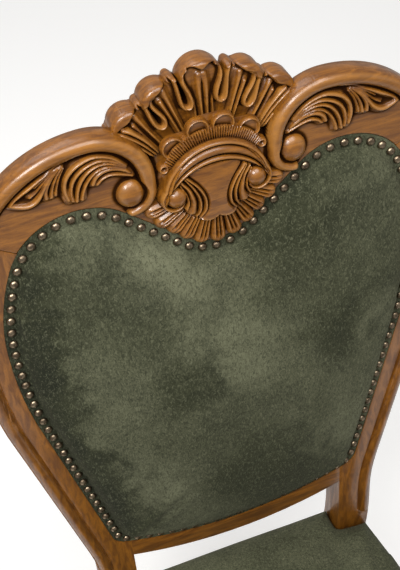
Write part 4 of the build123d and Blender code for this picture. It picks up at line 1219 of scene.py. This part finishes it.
def makeBackPad():
    s = backPadSetup
    gridU, gridV = makeSheet(*s["sheet"], s["step"])
    inside = -loopField(gridU, gridV, nailLineLoop(0))
    crown = s["crownTop"] - (gridU**2 + (gridV + nailLine["drop"] / 2) ** 2) / s["flat"]
    over = np.logaddexp(0, (crown - s["lowest"]) / s["soften"]) * s["soften"]
    crown = s["lowest"] + over    # the arches keep a little height
    wall = s["wall"] * np.sqrt(np.maximum(inside - s["foot"], 1e-3))
    relief = s["border"] + (wall**-3 + crown**-3) ** (-1 / 3)
    piece = carvedPiece("backPad", gridU, gridV, -inside - s["edge"], relief, s["ease"], [(0, s["under"])])
    height = fromBack(meshPoints(piece))[2]
    finishPad(piece, height < s["border"] + 0.5, s, ["back_cover", "back_foam"])
    dimple(piece, backNails, axisW, s["dimple"], s["dimpleReach"])


makeBackPad()

seatSetup = {
    "step": 6.0, "sheet": (-252, 252, -318, 210), "ease": 22, "top": 481, "flat": 3600, "low": 404.3,
    "rearLow": 428.4, "board": 438.3, "skin": 1.1, "bow": 22, "corner": 15.5, "tongue": 130.4,
    "rearHalf": 171.5, "stileGap": 5.5, "pressure": 4, "frames": 20, "cap": 5, "fill": 0.85,
}


def onFloor(x, y, z):
    return np.stack([x, y, z], -1) / 1000


def seatLoop():
    s = seatSetup
    coverLow, coverHigh = (np.array(corner) * 1000 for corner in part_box("seat_cover"))
    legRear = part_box("front_right_leg")[1][1] * 1000
    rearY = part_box("rear_seat_rail")[0][1] * 1000 - s["stileGap"]
    half = coverHigh[0]
    frontY = coverLow[1] + s["bow"]
    radius = (half**2 + s["bow"] ** 2) / (2 * s["bow"])
    centreY = coverLow[1] + radius
    cornerX = half - s["corner"]
    cornerY = centreY - math.sqrt((radius - s["corner"]) ** 2 - cornerX**2)
    turn = math.atan2(cornerX, centreY - cornerY)
    front = [(radius * math.sin(a), centreY - radius * math.cos(a)) for a in np.linspace(0, turn, 30)]
    corner = [
        (cornerX + s["corner"] * math.sin(a), cornerY - s["corner"] * math.cos(a))
        for a in np.linspace(turn, math.pi / 2, 10)[1:]
    ]
    rear = [(half, legRear), (s["rearHalf"], rearY), (s["tongue"], rearY), (s["tongue"], coverHigh[1])]
    right = np.array(front + corner + rear)
    middle = (frontY + rearY) / 2
    return np.vstack([right, right[:0:-1] * [-1, 1]]), middle, rearY, coverHigh[1]


def makeSeatPad():
    s = seatSetup
    loop, middle, rearY, tailY = seatLoop()
    gridX, gridY = makeSheet(*s["sheet"], s["step"])
    field = loopField(gridX, gridY, loop)
    relief = s["top"] - (gridX**2 + (gridY - middle) ** 2) / s["flat"]

    def lowEdge(x, y):
        byStile = (y > rearY - 7) & ~((y > tailY - 1.5) & (np.abs(x) < s["tongue"] - 3))
        return np.where(byStile, s["rearLow"], s["low"])

    rings = [(0, lowEdge), (s["skin"], lowEdge), (s["skin"], s["board"])]
    piece = carvedPiece("seatPad", gridX, gridY, field, relief, s["ease"], rings, place=onFloor)
    heights = meshPoints(piece)[:, 2] * 1000
    finishPad(piece, heights < s["board"] + 0.5, s, ["seat_cover", "seat_foam"])


makeSeatPad()

rearSetup = {
    "step": 6.0, "sheet": (-210, 210, -414, 78), "inset": 8.3, "front": 34.6, "rear": 35.6, "trim": 8.5,
    "puff": 2.2, "roll": 40, "ease": 0.1, "pressure": 4, "frames": 12, "cap": 1.5, "fill": 0.7,
}


def behindBack(u, v, w):
    return onBack(u, v, -np.asarray(w))


def makeRearPad():
    s = rearSetup
    gridU, gridV = makeSheet(*s["sheet"], s["step"])
    inside = -loopField(gridU, gridV, nailLineLoop(-s["inset"]))
    share = np.clip((inside - s["trim"]) / s["roll"], 0, 1)
    relief = s["rear"] + s["puff"] * (1 - (1 - share) ** 2)
    rings = [(0, s["front"])]
    piece = carvedPiece("outsideBackPad", gridU, gridV, -inside, relief, s["ease"], rings, place=behindBack)
    height = fromBack(meshPoints(piece))[2]
    finishPad(piece, -height < s["rear"] + 0.05, s, ["outside_back_cover"])


makeRearPad()

# Hidden and plain nodes keep their shape and take a finish
nodeFinish = {
    "crest_dowels": blankWood, "back_panel": plyBoard, "outside_back_board": plyBoard, "seat_board": plyBoard,
    "front_right_block": blankWood, "front_left_block": blankWood, "rear_right_block": blankWood,
    "rear_left_block": blankWood, "seat_screws": screwSteel, "foot_glides": glidePlastic,
    "outside_back_gimp": gimpBraid,
}
for node, material in nodeFinish.items():
    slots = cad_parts[node].data.materials
    slots.clear()
    slots.append(material)

# Standard view transform
scene.view_settings.view_transform = "Standard"
